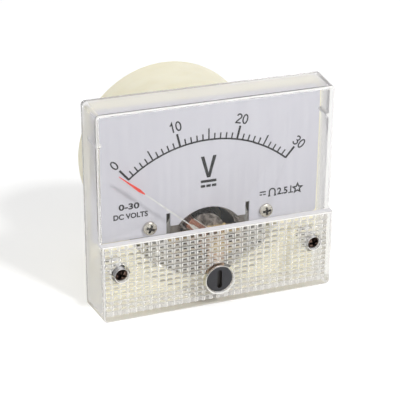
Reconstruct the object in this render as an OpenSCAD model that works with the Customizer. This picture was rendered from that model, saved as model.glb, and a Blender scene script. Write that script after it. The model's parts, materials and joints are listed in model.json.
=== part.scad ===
// Analog panel meter: a moving-coil movement behind a dial, in a round-backed
// panel housing with a clear front cover.
// Axes: +X to the right as seen from the front, +Y from the front to the rear,
// +Z up. The origin lies on the axis of the round barrel, in the plane where
// the flange meets the panel.

/* [Face] */
// Width of the cover at the panel
face_w = 64; // [62:1:70]
// Height of the cover at the panel
face_h = 56; // [54:1:62]
// Depth from the panel to the front of the window
window_depth = 10.3; // [9.8:0.1:13]
// How far the lens block stands out in front of the window
lens_step = 2.3; // [1.5:0.1:3]
// Height of the ledge on top of the lens block
ledge_z = -6.2; // [-6.6:0.1:-5.2]
// Draft of each side from the panel to the window
draft = 0.62; // [0.3:0.02:0.8]
// Corner radius of the cover
corner_r = 1.6; // [1:0.1:3]
// Chamfer round the front edges of the cover
edge_chamfer = 0.4; // [0.1:0.05:0.6]

/* [Front cover] */
// Thickness of the side walls
cover_wall = 1.2; // [1:0.1:1.5]
// Thickness of the ledge on top of the lens block
ledge_wall = 1; // [0.8:0.1:1.4]
// Thickness of the window
window_t = 1.8; // [1.4:0.1:2.2]
// Thickness of the front of the lens block
lens_t = 2.3; // [2:0.1:2.6]
// Radius of the tubular posts round the cover screws
cover_post_r = 3; // [2.6:0.1:3.4]
// Radius of the small ribs that centre the dial
rib_r = 0.9; // [0.8:0.1:1.1]
// Height of the ribs above the middle of the face
rib_z = 19.3; // [10:0.1:22]
// Width of the small pyramids behind the lens
prism_w = 2.045; // [1.8:0.005:2.4]
// Height of the small pyramids behind the lens
prism_h = 1.47; // [1.3:0.01:1.8]
// Depth of the cuts between the pyramids
prism_depth = 0.45; // [0.3:0.01:0.55]
// Width of the flat bottom of those cuts
prism_floor = 0.15; // [0.1:0.01:0.2]
// Plain margin between the ends of the cuts and the walls
prism_margin = 0.3; // [0.2:0.05:0.6]

/* [Rear housing] */
// Radius of the barrel that passes through the panel
barrel_r = 25; // [24.5:0.1:26]
// Depth of the barrel behind the panel
barrel_depth = 30; // [27:0.5:36]
// Thickness of the barrel wall
barrel_wall = 1.8; // [1.4:0.1:2]
// Thickness of the barrel floor
floor_t = 2; // [1.6:0.1:3]
// Chamfer on the rear edge of the barrel
barrel_chamfer = 1; // [0.5:0.1:1.5]
// Thickness of the flange
flange_t = 2; // [1.6:0.1:2.2]
// Height of the rim that carries the edge of the dial
rim_h = 0.5; // [0.3:0.1:0.8]
// Width of that rim
rim_w = 1.9; // [1.5:0.1:2.4]
// Radius of the flange posts that hold the studs
stud_post_r = 3.5; // [3.2:0.1:3.6]
// Height of the flange posts in front of the flange
stud_post_h = 3; // [2.5:0.1:3.5]
// Radius of the posts that carry the movement
frame_post_r = 2.4; // [2:0.1:2.5]

/* [Cover screws and mounting studs] */
// Distance of a stud from the side of the cover at the panel
stud_inset = 5.7; // [5.6:0.1:6]
// Height of the studs above the lower side of the cover
stud_rise = 13.3; // [12:0.1:15]
// Radius of the stud's thread
stud_r = 1.5; // [1.4:0.1:1.6]
// Length of the stud behind the flange
stud_len = 13; // [10:0.5:18]
// Radius of the stud's body inside the flange post
stud_body_r = 2.3; // [2:0.1:2.6]
// Radius of the cover screw's shank
cover_screw_r = 0.95; // [0.8:0.05:1.1]
// Radius of the cover screw's head
cover_head_r = 1.7; // [1.6:0.05:1.9]
// Height of the cover screw's head
cover_head_h = 1.2; // [1:0.1:1.5]
// Depth of the head's top below the lens
cover_head_sink = 2; // [1.6:0.1:2.4]
// Depth of the cover screw's hole in the stud
cover_thread_depth = 3.4; // [2.5:0.1:3.6]

/* [Terminals] */
// Sideways distance of a terminal from the middle
terminal_x = 12; // [11:0.1:14]
// Height of the terminals
terminal_z = 0; // [-1:0.1:6]
// Radius of the terminal's thread
terminal_r = 2; // [1.8:0.1:2.1]
// Length of the terminal behind the barrel
terminal_len = 13.4; // [12.5:0.1:18]
// Radius of the terminal's head inside the barrel
terminal_head_r = 3.6; // [3:0.1:4]
// Thickness of that head
terminal_head_t = 2; // [1.5:0.1:2.5]
// Radius of the boss round each terminal
terminal_boss_r = 5; // [4.7:0.1:5.4]
// Height of that boss
terminal_boss_h = 1.5; // [1:0.1:2]
// Width across the flats of the terminal nuts
terminal_nut_af = 7; // [6.5:0.1:7.4]
// Thickness of the fixing nut
fixing_nut_t = 2.2; // [2:0.1:3]
// Thickness of the solder lug
lug_t = 0.5; // [0.4:0.1:0.8]
// Length of the solder lug from the terminal to its tip
lug_len = 10; // [8:0.5:12]
// Outer radius of the terminal washer
terminal_washer_r = 4.4; // [4:0.1:4.6]
// Thickness of the terminal washer
terminal_washer_t = 0.6; // [0.5:0.1:1]
// Thickness of the terminal spring washer
terminal_spring_t = 1; // [0.8:0.1:1.2]
// Thickness of the clamp nut
clamp_nut_t = 2.8; // [2.4:0.1:3.2]

/* [Dial] */
// Thickness of the dial plate
dial_t = 0.5; // [0.4:0.1:0.7]
// Height of the lower edge of the dial
dial_bottom_z = -9.5; // [-9.6:0.1:-8.6]
// Corner radius of the dial
dial_corner_r = 1; // [0.5:0.1:2]
// Radius of the arch cut above the movement
arch_r = 10.3; // [9.9:0.1:10.5]
// Height of the centre of that arch
arch_z = -14.05; // [-14.3:0.05:-13.6]
// Height of the straight cut beside the arch
notch_z = -7.5; // [-7.7:0.1:-7]
// Height of the top of the two narrow slots
slot_top_z = -3.9; // [-5:0.1:-3]
// Half the width of the cut, to the outer side of the slots
slot_x = 11.1; // [10.6:0.1:11.6]
// Width of the narrow slots
slot_w = 1.05; // [0.6:0.05:1.3]
// Sideways distance of a dial screw from the middle
dial_screw_x = 15.85; // [15:0.05:17]
// Height of the dial screws
dial_screw_z = -7.1; // [-7.3:0.1:-6.4]
// Radius of the dial screw's head
dial_head_r = 1.8; // [1.5:0.1:2]
// Height of the dial screw's head
dial_head_h = 1.1; // [0.8:0.1:1.4]
// Radius of the dial screw's shank
dial_screw_r = 0.9; // [0.7:0.05:1]

/* [Scale] */
// Height of the centre of the scale's arc
scale_z = -17.7; // [-18.5:0.1:-17]
// Radius of the scale's arc
scale_r = 32.4; // [30:0.1:33.5]
// Angle of the last mark from the vertical
scale_angle = 40.5; // [36:0.5:42]
// Number of divisions
divisions = 30; // [10:10:60]
// Width of the arc line
arc_line_w = 0.32; // [0.2:0.02:0.5]
// Length of a minor mark
minor_len = 1.2; // [0.8:0.1:1.6]
// Length of a medium mark
medium_len = 2.55; // [1.8:0.05:3]
// Length of a major mark
major_len = 3.45; // [3:0.05:4]
// Width of the minor and medium marks
minor_w = 0.25; // [0.15:0.01:0.35]
// Width of the major marks
major_w = 0.38; // [0.3:0.01:0.5]
// Thickness of the printed ink
ink_t = 0.05; // [0.04:0.01:0.08]

/* [Movement] */
// Height of the pointer's axis
pivot_z = -11.8; // [-12.2:0.1:-11.4]
// Outer radius of the iron ring
yoke_r = 10.5; // [10.3:0.1:10.7]
// Inner radius of the iron ring
yoke_bore_r = 7.9; // [7.8:0.05:8.05]
// Length of the iron ring along its axis
yoke_len = 10.6; // [9:0.1:12]
// Thickness of the frame plate
frame_t = 1.6; // [1.4:0.1:2]
// Radius of the lugs under the dial screws
frame_lug_r = 2.8; // [2.4:0.1:3]
// Sideways distance of a frame screw from the middle
frame_screw_x = 13.9; // [13.8:0.1:14.2]
// Height of the frame screws
frame_screw_z = -15.6; // [-16:0.1:-15.4]
// Radius of the frame screw's head
frame_head_r = 1.6; // [1.4:0.1:1.7]
// Height of the frame screw's head
frame_head_h = 1.1; // [0.8:0.1:1.4]
// Radius of the frame screw's shank
frame_screw_r = 0.8; // [0.6:0.05:0.9]
// Length of the frame screw's shank
frame_screw_len = 6; // [4:0.5:8]
// Radius of the magnet core
core_r = 5.3; // [5:0.1:5.4]
// Width of the strip that carries the core
strip_w = 3; // [2:0.1:3.2]
// Thickness of that strip
strip_t = 0.6; // [0.5:0.05:0.7]
// Radius of the pointer's stop pins
stop_r = 0.35; // [0.25:0.05:0.4]
// Distance of the stop pins from the axis
stop_dist = 8.5; // [8.4:0.1:8.6]
// Angle of the stop pins from the vertical
stop_angle = 60.5; // [60:0.5:66]

/* [Bridges and bearings] */
// Width of the bridges
bridge_w = 4.4; // [4:0.1:5]
// Thickness of the bridges
bridge_t = 0.8; // [0.6:0.05:1]
// Radius of the bridge screw's head
bridge_head_r = 1.05; // [0.9:0.05:1.05]
// Height of the bridge screw's head
bridge_head_h = 0.8; // [0.6:0.1:1]
// Radius of the bridge screw's shank
bridge_screw_r = 0.6; // [0.5:0.05:0.7]
// Length of the bridge screw's shank in the ring
bridge_screw_len = 3; // [2:0.1:4]
// Radius of a jewel screw
jewel_r = 1.3; // [1.2:0.05:1.5]
// How far the jewel screw stands inside its bridge
jewel_reach = 0.65; // [0.4:0.05:0.8]
// How far the jewel screw stands outside its bridge
jewel_tail = 1.4; // [1.3:0.05:1.5]
// Depth of the jewel's cup
cup_depth = 0.5; // [0.4:0.05:0.6]
// Width across the flats of the lock nut
lock_nut_af = 4; // [3.6:0.1:4.4]
// Thickness of the lock nut
lock_nut_t = 0.5; // [0.4:0.05:0.6]

/* [Moving coil] */
// Gap between the core and the coil former
core_gap = 0.35; // [0.3:0.05:0.45]
// Thickness of the coil former
former_t = 0.3; // [0.2:0.05:0.35]
// Width of the coil former
coil_w = 3; // [2.4:0.1:3.2]
// Thickness of the winding
winding_t = 1.15; // [0.8:0.05:1.25]
// Narrowing of the winding inside the former's width
winding_inset = 0.15; // [0.1:0.05:0.3]
// Gap between the coil and the core's ends
end_gap = 0.5; // [0.4:0.05:0.8]
// Radius of the pivot staffs
staff_r = 0.35; // [0.3:0.01:0.37]
// Radius of the pivot's foot on the winding
foot_r = 1.2; // [0.9:0.1:1.4]
// Thickness of that foot
foot_t = 0.3; // [0.2:0.05:0.4]

/* [Pointer] */
// Distance from the dial to the back of the pointer
pointer_lift = 2.6; // [2.4:0.1:2.8]
// Thickness of the pointer
pointer_t = 0.25; // [0.2:0.01:0.3]
// Length of the pointer from its axis to the tip
pointer_len = 32.3; // [28:0.1:33]
// Distance from the axis to the start of the red tip
tip_start = 23.7; // [20:0.1:26]
// Greatest width of the red tip
tip_w = 0.75; // [0.5:0.05:1]
// Width of the thin part of the arm
arm_w = 0.3; // [0.2:0.05:0.4]
// Width of the arm at its root
root_w = 0.9; // [0.6:0.05:1.2]
// Distance from the axis to the end of the wide root
root_end = 8; // [6:0.5:10]
// Angle of the pointer at rest, to the left of the vertical
rest_angle = 49.2; // [48:0.1:50]
// Radius of the hub
hub_r = 1.3; // [1.1:0.1:1.5]
// Width of the balance arms
balance_arm_w = 0.6; // [0.4:0.05:0.8]
// Length of the side balance arms from the axis
balance_side_len = 5.4; // [4.8:0.1:6]
// Length of the tail balance arm from the axis
balance_tail_len = 6.6; // [6.4:0.1:7]
// Radius of the side weights
side_weight_r = 0.6; // [0.5:0.05:0.7]
// Length of the side weights
side_weight_len = 1.2; // [0.8:0.1:1.6]
// Distance of the side weights from the axis
side_weight_dist = 4.6; // [4.5:0.1:4.7]
// Radius of the tail weight
tail_weight_r = 0.75; // [0.6:0.01:0.8]
// Length of the tail weight
tail_weight_len = 1.6; // [1.2:0.01:1.8]
// Distance of the tail weight from the axis
tail_weight_dist = 5.6; // [5.5:0.05:5.7]

/* [Hairsprings] */
// Number of turns
spring_turns = 4; // [3:0.5:5]
// Radius of the inner end
spring_in_r = 0.9; // [0.85:0.05:1.2]
// Radius of the outer end
spring_out_r = 4.2; // [3.9:0.1:4.4]
// Thickness of the strip
spring_t = 0.12; // [0.1:0.01:0.15]
// Width of the strip
spring_w = 0.5; // [0.4:0.05:0.55]
// Radius of the pin that holds the outer end
spring_pin_r = 0.35; // [0.3:0.01:0.4]

/* [Zero adjuster] */
// Height of the adjuster above the lower side of the cover
adjuster_rise = 7.4; // [7:0.1:7.8]
// Radius of the adjuster's head
adjuster_head_r = 3.45; // [3.2:0.05:3.6]
// Thickness of the adjuster's head
adjuster_head_t = 1.15; // [1:0.05:1.3]
// Depth of the head below the lens
adjuster_sink = 0.6; // [0.4:0.1:0.8]
// Radius of the adjuster's shaft
adjuster_shaft_r = 2; // [1.8:0.1:2.2]
// Radius of the boss behind the lens
adjuster_boss_r = 4.4; // [4:0.1:4.6]
// Depth of the boss behind the lens
adjuster_boss_h = 0.6; // [0.4:0.1:0.7]
// Length of the screwdriver slot
driver_slot_len = 5.1; // [4:0.1:5.6]
// Width of the screwdriver slot
driver_slot_w = 1.05; // [0.8:0.05:1.2]
// Depth of the screwdriver slot
driver_slot_depth = 0.9; // [0.6:0.05:0.95]
// Outer radius of the retaining clip
clip_r = 3; // [2.7:0.1:3.2]
// Thickness of the retaining clip
clip_t = 0.3; // [0.2:0.05:0.35]
// Throw of the eccentric pin
pin_throw = 0.9; // [0.7:0.05:1]
// Radius of the eccentric pin
pin_r = 0.5; // [0.4:0.05:0.6]
// Thickness of the lever
lever_t = 0.3; // [0.25:0.05:0.35]
// Width of the lever's arm
lever_w = 1.6; // [1.2:0.1:2]
// Outer radius of the lever's ring
lever_ring_r = 2.1; // [1.9:0.1:2.2]
// Width of the lever's fork
fork_w = 3.2; // [2.8:0.1:3.6]

/* [Wiring] */
// Radius of the series resistor
resistor_r = 1.6; // [1.2:0.1:2]
// Length of the series resistor
resistor_len = 8; // [6:0.5:10]
// Distance of the resistor in front of the barrel floor
resistor_stand = 8; // [6:0.5:9]
// Height of the resistor
resistor_z = 8; // [6:0.5:10]
// Radius of the wires
wire_r = 0.4; // [0.3:0.05:0.5]

/* [Clearances] */
// Gap between the flange and the cover
flange_fit = 0.1; // [0.05:0.01:0.15]
// Gap between the dial and the cover
dial_gap = 1; // [0.8:0.05:1.2]
// Gap round a screw or nut that passes through a hole
screw_fit = 0.15; // [0.1:0.01:0.25]
// Radial gap of a shaft that turns
running_fit = 0.05; // [0.03:0.01:0.07]
// End gap of a part that turns
end_play = 0.1; // [0.05:0.01:0.15]
// Gap between the lever and the pieces it passes
lever_gap = 0.2; // [0.15:0.01:0.25]
// Gap each side of the eccentric pin in the fork
fork_fit = 0.12; // [0.1:0.01:0.15]
// Gap between a thread and its hole
thread_fit = 0.02; // [0.01:0.01:0.03]

/* [Hidden] */
$fn = 64;
// Overrun of a cutting shape past the surface it cuts
cut = 1;
// Thickness of the outline plates that the drafted shells are hulled from
skin = 0.01;
// How much thicker a wire is at a bend
bend_swell = 1.06;
// Sides of a hexagon
HEX = 6;

// Places that follow the sides of the cover
stud_x = face_w / 2 - stud_inset;
stud_z = stud_rise - face_h / 2;
adjuster_z = adjuster_rise - face_h / 2;

// Stations along Y, from the front to the rear
window_y = -window_depth;
lens_y = window_y - lens_step;
window_in_y = window_y + window_t;
lens_in_y = lens_y + lens_t;
dial_back_y = -flange_t - rim_h;
dial_y = dial_back_y - dial_t;
pointer_back_y = dial_y - pointer_lift;
pointer_y = pointer_back_y - pointer_t;
stud_front_y = -flange_t - stud_post_h;
floor_y = barrel_depth - floor_t;
boss_y = barrel_depth + terminal_boss_h;

// Half sizes of the cover's cavity, flange and dial
function draft_at(y) = draft * -y / window_depth;
cavity_w = face_w - 2 * cover_wall;
cavity_h = face_h - 2 * cover_wall;
flange_w = cavity_w - 2 * (draft_at(dial_back_y) + flange_fit);
flange_h = cavity_h - 2 * (draft_at(dial_back_y) + flange_fit);
dial_w = cavity_w - 2 * (draft_at(dial_y) + dial_gap);
dial_top_z = cavity_h / 2 - draft_at(dial_y) - dial_gap;
inner_corner_r = max(corner_r - cover_wall / 2, cover_wall / 4);
barrel_in_r = barrel_r - barrel_wall;

// Stations of the movement
frame_back_y = dial_back_y + frame_t;
yoke_back_y = dial_back_y + yoke_len;
core_back_y = yoke_back_y;
strip_y = frame_back_y - strip_t;
former_in_r = core_r + core_gap;
former_out_r = former_in_r + former_t;
winding_r = former_out_r + winding_t;
former_front_y = strip_y - end_gap - former_t;
former_back_y = core_back_y + end_gap + former_t;
winding_front_y = former_front_y - winding_t;
winding_back_y = former_back_y + winding_t;

// Stations of the front bearing, counted forward from the pointer
spring_front_y = pointer_y - 4 * end_play - spring_w;
jewel_front_y = spring_front_y - end_play;
bridge_back_y = jewel_front_y - jewel_reach;
bridge_y = bridge_back_y - bridge_t;
lever_back_y = bridge_y - lever_gap;
lever_y = lever_back_y - lever_t;
lock_nut_back_y = lever_y - end_play;

// Stations of the rear bearing, counted back from the winding
rear_spring_y = winding_back_y + foot_t + 2 * jewel_reach;
rear_jewel_y = rear_spring_y + spring_w + end_play;
rear_bridge_y = rear_jewel_y + jewel_reach;

// Stations of the zero adjuster
adjuster_y = lens_y + adjuster_sink;
head_back_y = adjuster_y + adjuster_head_t;
recess_y = head_back_y + running_fit;
boss_back_y = lens_in_y + adjuster_boss_h;
clip_y = boss_back_y + end_play;
shaft_back_y = clip_y + clip_t;
pin_back_y = lever_back_y + lever_gap / 2;
pin_dist = pivot_z - adjuster_z + pin_throw;
fork_end = pin_dist + pin_r + fork_fit;
fork_start = pin_dist - pin_throw - pin_r;

// The bridges stand on the iron ring beside the coil
leg_out_r = yoke_bore_r + bridge_t / 2;
foot_out_r = yoke_r;
bridge_screw_dist = leg_out_r + running_fit + bridge_head_r;
// Half the width of the slot in the front bridge for the lever's spring pin
spring_slot_half = spring_out_r * pin_throw / pin_dist + spring_pin_r + lever_gap;

// ---- Shared shapes -------------------------------------------------------

// A plate from the station y0 back to y1, with its outline drawn in X and Z
module slab(y0, y1) {
    translate([0, y1, 0]) rotate([90, 0, 0]) linear_extrude(y1 - y0) children();
}

// A round bar along Y
module bar(x, z, r, y0, y1) {
    translate([x, y1, z]) rotate([90, 0, 0]) cylinder(h = y1 - y0, r = r);
}

// A cone along Y
module taper(x, z, r0, r1, y0, y1) {
    translate([x, y1, z]) rotate([90, 0, 0]) cylinder(h = y1 - y0, r1 = r1, r2 = r0);
}

// A flat ring along Y
module ring(x, z, r_out, r_in, y0, y1) {
    difference() {
        bar(x, z, r_out, y0, y1);
        bar(x, z, r_in, y0 - cut, y1 + cut);
    }
}

// A rectangle with round corners, centred on the origin
module round_rect(w, h, r) {
    square([w - 2 * r, h], center = true);
    square([w, h - 2 * r], center = true);
    for (sx = [-1, 1], sz = [-1, 1])
        translate([sx * (w / 2 - r), sz * (h / 2 - r)]) circle(r = r);
}

// A box whose sides lean in towards the front by the cover's draft, with a
// chamfer round its front edge
module drafted_box(w, h, r, front_y, back_y, chamfer) {
    hull() {
        slab(front_y, front_y + skin)
            round_rect(w - 2 * (draft_at(front_y) + chamfer), h - 2 * (draft_at(front_y) + chamfer),
                r - chamfer / 2, $fn = 32);
        for (y = [front_y + chamfer, back_y - skin])
            slab(y, y + skin) round_rect(w - 2 * draft_at(y), h - 2 * draft_at(y), r, $fn = 32);
    }
}

// A cut through the whole width of the cover, its outline drawn in Y and Z
module across(w) {
    translate([-w / 2, 0, 0]) rotate([90, 0, 90]) linear_extrude(w) children();
}

// Children as if the pointer stood upright on its axis, turned to its rest
module on_pivot() {
    translate([0, 0, pivot_z]) rotate([0, -rest_angle, 0]) children();
}

// A pan head with a cross recess, its top towards the front
module pan_head(x, z, r, h, seat_y) {
    dome = h / 3;
    recess_w = r / 4;
    difference() {
        union() {
            bar(x, z, r, seat_y - h + dome, seat_y);
            taper(x, z, 0.75 * r, r, seat_y - h, seat_y - h + dome);
        }
        translate([x, seat_y - h, z])
            for (a = [0, 90])
                rotate([0, a, 0]) cube([1.2 * r, h, recess_w], center = true);
    }
}

// A pan-head screw: its head seats at seat_y and its shank ends at end_y
module pan_screw(x, z, head_r, head_h, shank_r, seat_y, end_y) {
    pan_head(x, z, head_r, head_h, seat_y);
    bar(x, z, shank_r, seat_y, end_y);
}

// A hexagon nut
module hex_nut(x, z, af, bore_r, y0, y1) {
    difference() {
        translate([x, y1, z]) rotate([90, 0, 0])
            cylinder(h = y1 - y0, r = af / 2 / cos(180 / HEX), $fn = HEX);
        bar(x, z, bore_r, y0 - cut, y1 + cut);
    }
}

// A split spring washer
module split_washer(x, z, r_out, r_in, y0, y1) {
    split_w = (r_out - r_in) / 2;
    difference() {
        ring(x, z, r_out, r_in, y0, y1);
        translate([x - split_w / 2, y0 - cut, z])
            cube([split_w, y1 - y0 + 2 * cut, r_out + cut]);
    }
}

// A straight piece of wire with round ends
module wire_piece(a, b, r) {
    d = b - a;
    len = norm(d);
    translate(a) rotate([0, acos(d[2] / len), atan2(d[1], d[0])]) cylinder(h = len, r = r);
}

// A wire along a list of points, with a ball at each bend
module wire(points, r) {
    for (i = [0:len(points) - 2]) wire_piece(points[i], points[i + 1], r);
    for (i = [1:len(points) - 2]) translate(points[i]) sphere(r = r * bend_swell);
}

// ---- Clear front cover ---------------------------------------------------

// The lens block reaches further forward than the window: one box cut back
// above the ledge, and a second one as far as the window
module cover_outside() {
    difference() {
        drafted_box(face_w, face_h, corner_r, lens_y, 0, edge_chamfer);
        across(2 * face_w) polygon([
            [lens_y - cut, ledge_z - edge_chamfer - cut],
            [lens_y + edge_chamfer, ledge_z],
            [window_y + cut, ledge_z],
            [window_y + cut, face_h],
            [lens_y - cut, face_h]
        ]);
    }
    drafted_box(face_w, face_h, corner_r, window_y, 0, edge_chamfer);
}

module cover_cavity() {
    difference() {
        drafted_box(cavity_w, cavity_h, inner_corner_r, lens_in_y, cut, 0);
        translate([-face_w, lens_in_y - cut, ledge_z - ledge_wall])
            cube([2 * face_w, window_in_y - lens_in_y + cut, face_h]);
    }
}

// A straight cut into the back of the lens with sloping sides, along Z
module prism_cut(cut_len) {
    linear_extrude(cut_len) polygon([
        [-prism_floor / 2 - prism_depth - cut, lens_in_y + cut],
        [-prism_floor / 2, lens_in_y - prism_depth],
        [prism_floor / 2, lens_in_y - prism_depth],
        [prism_floor / 2 + prism_depth + cut, lens_in_y + cut]
    ]);
}

// Crossing rows and columns of cuts leave a field of blunt pyramids
module prism_field() {
    half_w = cavity_w / 2 - draft_at(lens_in_y) - prism_margin;
    top_z = ledge_z - ledge_wall - prism_margin;
    bottom_z = draft_at(lens_in_y) + prism_margin - cavity_h / 2;
    columns = floor((half_w - prism_w / 2) / prism_w);
    rows = floor((top_z - bottom_z - prism_h / 2) / prism_h);
    for (i = [-columns:columns])
        translate([i * prism_w, 0, bottom_z]) prism_cut(top_z - bottom_z);
    for (i = [1:rows])
        translate([-half_w, 0, top_z - i * prism_h + prism_h / 3]) rotate([0, 90, 0])
            prism_cut(2 * half_w);
}

module front_cover() {
    rib_x = cavity_w / 2 - draft_at(window_in_y);
    head_seat_y = lens_y + cover_head_sink + cover_head_h;
    color([0.92, 0.93, 0.92, 0.45])
    difference() {
        union() {
            difference() {
                cover_outside();
                cover_cavity();
                prism_field();
            }
            for (side = [-1, 1]) {
                bar(side * stud_x, stud_z, cover_post_r, lens_in_y - lens_t / 2, stud_front_y);
                bar(side * rib_x, rib_z, rib_r, window_in_y - window_t / 2, dial_y - end_play);
            }
            bar(0, adjuster_z, adjuster_boss_r, lens_in_y - lens_t / 2, boss_back_y);
        }
        for (side = [-1, 1]) {
            bar(side * stud_x, stud_z, cover_head_r + 2 * screw_fit, lens_y - cut, head_seat_y);
            bar(side * stud_x, stud_z, cover_screw_r + screw_fit, lens_y, stud_front_y + cut);
        }
        bar(0, adjuster_z, adjuster_head_r + screw_fit, lens_y - cut, recess_y);
        bar(0, adjuster_z, adjuster_shaft_r + running_fit, lens_y, boss_back_y + cut);
    }
}

// ---- Rear housing --------------------------------------------------------

module barrel_shell() {
    rotate([-90, 0, 0]) rotate_extrude()
        polygon([
            [0, floor_y],
            [barrel_in_r, floor_y],
            [barrel_in_r, -flange_t / 2],
            [barrel_r, -flange_t / 2],
            [barrel_r, barrel_depth - barrel_chamfer],
            [barrel_r - barrel_chamfer, barrel_depth],
            [0, barrel_depth]
        ]);
}

module rear_housing() {
    color("ivory")
    difference() {
        union() {
            slab(-flange_t, 0) difference() {
                round_rect(flange_w, flange_h, inner_corner_r);
                circle(r = barrel_in_r);
            }
            slab(dial_back_y, -flange_t) difference() {
                round_rect(flange_w, flange_h, inner_corner_r);
                round_rect(flange_w - 2 * rim_w, flange_h - 2 * rim_w, inner_corner_r);
            }
            barrel_shell();
            for (side = [-1, 1]) {
                bar(side * stud_x, stud_z, stud_post_r, stud_front_y, -flange_t / 2);
                bar(side * frame_screw_x, frame_screw_z, frame_post_r, frame_back_y, floor_y + floor_t / 2);
                bar(side * terminal_x, terminal_z, terminal_boss_r, barrel_depth - floor_t / 2, boss_y);
            }
        }
        for (side = [-1, 1]) {
            bar(side * stud_x, stud_z, stud_body_r, stud_front_y - cut, cut);
            bar(side * frame_screw_x, frame_screw_z, frame_screw_r + thread_fit,
                frame_back_y - cut, frame_back_y + frame_screw_len);
            bar(side * terminal_x, terminal_z, terminal_r + screw_fit, floor_y - cut, boss_y + cut);
        }
    }
}

// ---- Cover screws and mounting studs ------------------------------------

module cover_screw(side) {
    seat_y = lens_y + cover_head_sink + cover_head_h;
    color("rosybrown")
    pan_screw(side * stud_x, stud_z, cover_head_r, cover_head_h, cover_screw_r,
        seat_y, stud_front_y + cover_thread_depth - end_play);
}

module mounting_stud(side) {
    color("silver")
    difference() {
        union() {
            bar(side * stud_x, stud_z, stud_body_r, stud_front_y, 0);
            bar(side * stud_x, stud_z, stud_r, 0, stud_len);
        }
        bar(side * stud_x, stud_z, cover_screw_r + thread_fit,
            stud_front_y - cut, stud_front_y + cover_thread_depth);
    }
}

// ---- Terminals -----------------------------------------------------------

fixing_nut_y = boss_y;
lug_y = fixing_nut_y + fixing_nut_t;
terminal_washer_y = lug_y + lug_t;
terminal_spring_y = terminal_washer_y + terminal_washer_t;
clamp_nut_y = terminal_spring_y + terminal_spring_t;

module terminal_bolt(side) {
    color("silver") {
        bar(side * terminal_x, terminal_z, terminal_head_r, floor_y - terminal_head_t, floor_y);
        bar(side * terminal_x, terminal_z, terminal_r, floor_y, barrel_depth + terminal_len);
    }
}

module fixing_nut(side) {
    color("silver")
    hex_nut(side * terminal_x, terminal_z, terminal_nut_af, terminal_r + thread_fit, fixing_nut_y, lug_y);
}

// A ring under the nut with a narrow tail that ends in a wire hole
module solder_lug(side) {
    ring_r = terminal_nut_af / 2;
    tail_w = terminal_r;
    color("lightgray")
    slab(lug_y, lug_y + lug_t) translate([side * terminal_x, terminal_z]) difference() {
        union() {
            circle(r = ring_r);
            translate([-tail_w / 2, 0]) square([tail_w, lug_len - tail_w]);
            translate([0, lug_len - tail_w]) circle(r = tail_w / 2 + lug_t);
        }
        circle(r = terminal_r + screw_fit);
        translate([0, lug_len - tail_w]) circle(r = tail_w / 3);
    }
}

module terminal_washer(side) {
    color("silver")
    ring(side * terminal_x, terminal_z, terminal_washer_r, terminal_r + screw_fit,
        terminal_washer_y, terminal_spring_y);
}

module terminal_spring_washer(side) {
    color("silver")
    split_washer(side * terminal_x, terminal_z, terminal_nut_af / 2, terminal_r + screw_fit,
        terminal_spring_y, clamp_nut_y);
}

module clamp_nut(side) {
    color("silver")
    hex_nut(side * terminal_x, terminal_z, terminal_nut_af, terminal_r + thread_fit,
        clamp_nut_y, clamp_nut_y + clamp_nut_t);
}

// ---- Dial ----------------------------------------------------------------

module dial_outline() {
    dial_h = dial_top_z - dial_bottom_z;
    difference() {
        translate([0, dial_bottom_z + dial_h / 2]) round_rect(dial_w, dial_h, dial_corner_r);
        translate([0, arch_z]) circle(r = arch_r);
        translate([-slot_x, dial_bottom_z - cut]) square([2 * slot_x, notch_z - dial_bottom_z + cut]);
        for (side = [-1, 1])
            translate([side * (slot_x - slot_w / 2) - slot_w / 2, notch_z - cut])
                square([slot_w, slot_top_z - notch_z + cut]);
        for (side = [-1, 1])
            translate([side * dial_screw_x, dial_screw_z]) circle(r = dial_screw_r + screw_fit);
    }
}

module dial_plate() {
    color("gainsboro") slab(dial_y, dial_back_y) dial_outline();
}

module scale_mark(i) {
    major = i % 10 == 0;
    mark_len = major ? major_len : i % 5 == 0 ? medium_len : minor_len;
    mark_w = major ? major_w : minor_w;
    rotate(scale_angle * (1 - 2 * i / divisions))
        translate([-mark_w / 2, scale_r - arc_line_w / 2])
            square([mark_w, mark_len + arc_line_w / 2]);
}

module dial_scale() {
    reach = 2 * scale_r;
    end_angle = scale_angle + asin(major_w / 2 / scale_r);
    color("black")
    slab(dial_y - ink_t, dial_y) translate([0, scale_z]) {
        difference() {
            circle(r = scale_r + arc_line_w / 2);
            circle(r = scale_r - arc_line_w / 2);
            for (side = [-1, 1])
                polygon([
                    [0, 0],
                    [side * reach * sin(end_angle), reach * cos(end_angle)],
                    [side * reach, 0],
                    [side * reach, -reach],
                    [0, -reach]
                ]);
        }
        for (i = [0:divisions]) scale_mark(i);
    }
}

module dial_screw(side) {
    color("silver")
    pan_screw(side * dial_screw_x, dial_screw_z, dial_head_r, dial_head_h, dial_screw_r,
        dial_y, frame_back_y);
}

// ---- Fixed part of the movement ------------------------------------------

// A plate round the iron ring, with lugs for the dial and ears on the posts
module movement_frame() {
    wing_h = dial_screw_z - frame_screw_z;
    color("darkgray")
    slab(dial_back_y, frame_back_y) difference() {
        intersection() {
            union() {
                translate([0, pivot_z]) circle(r = yoke_r + frame_t);
                for (side = [-1, 1]) {
                    translate([side * dial_screw_x, dial_screw_z]) circle(r = frame_lug_r);
                    translate([side * frame_screw_x, frame_screw_z]) circle(r = frame_post_r);
                }
                translate([-dial_screw_x, frame_screw_z]) square([2 * dial_screw_x, wing_h]);
            }
            circle(r = barrel_in_r - screw_fit);
        }
        translate([0, pivot_z]) circle(r = yoke_r + thread_fit);
        for (side = [-1, 1]) {
            translate([side * dial_screw_x, dial_screw_z]) circle(r = dial_screw_r + thread_fit);
            translate([side * frame_screw_x, frame_screw_z]) circle(r = frame_screw_r + screw_fit);
        }
    }
}

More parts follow.
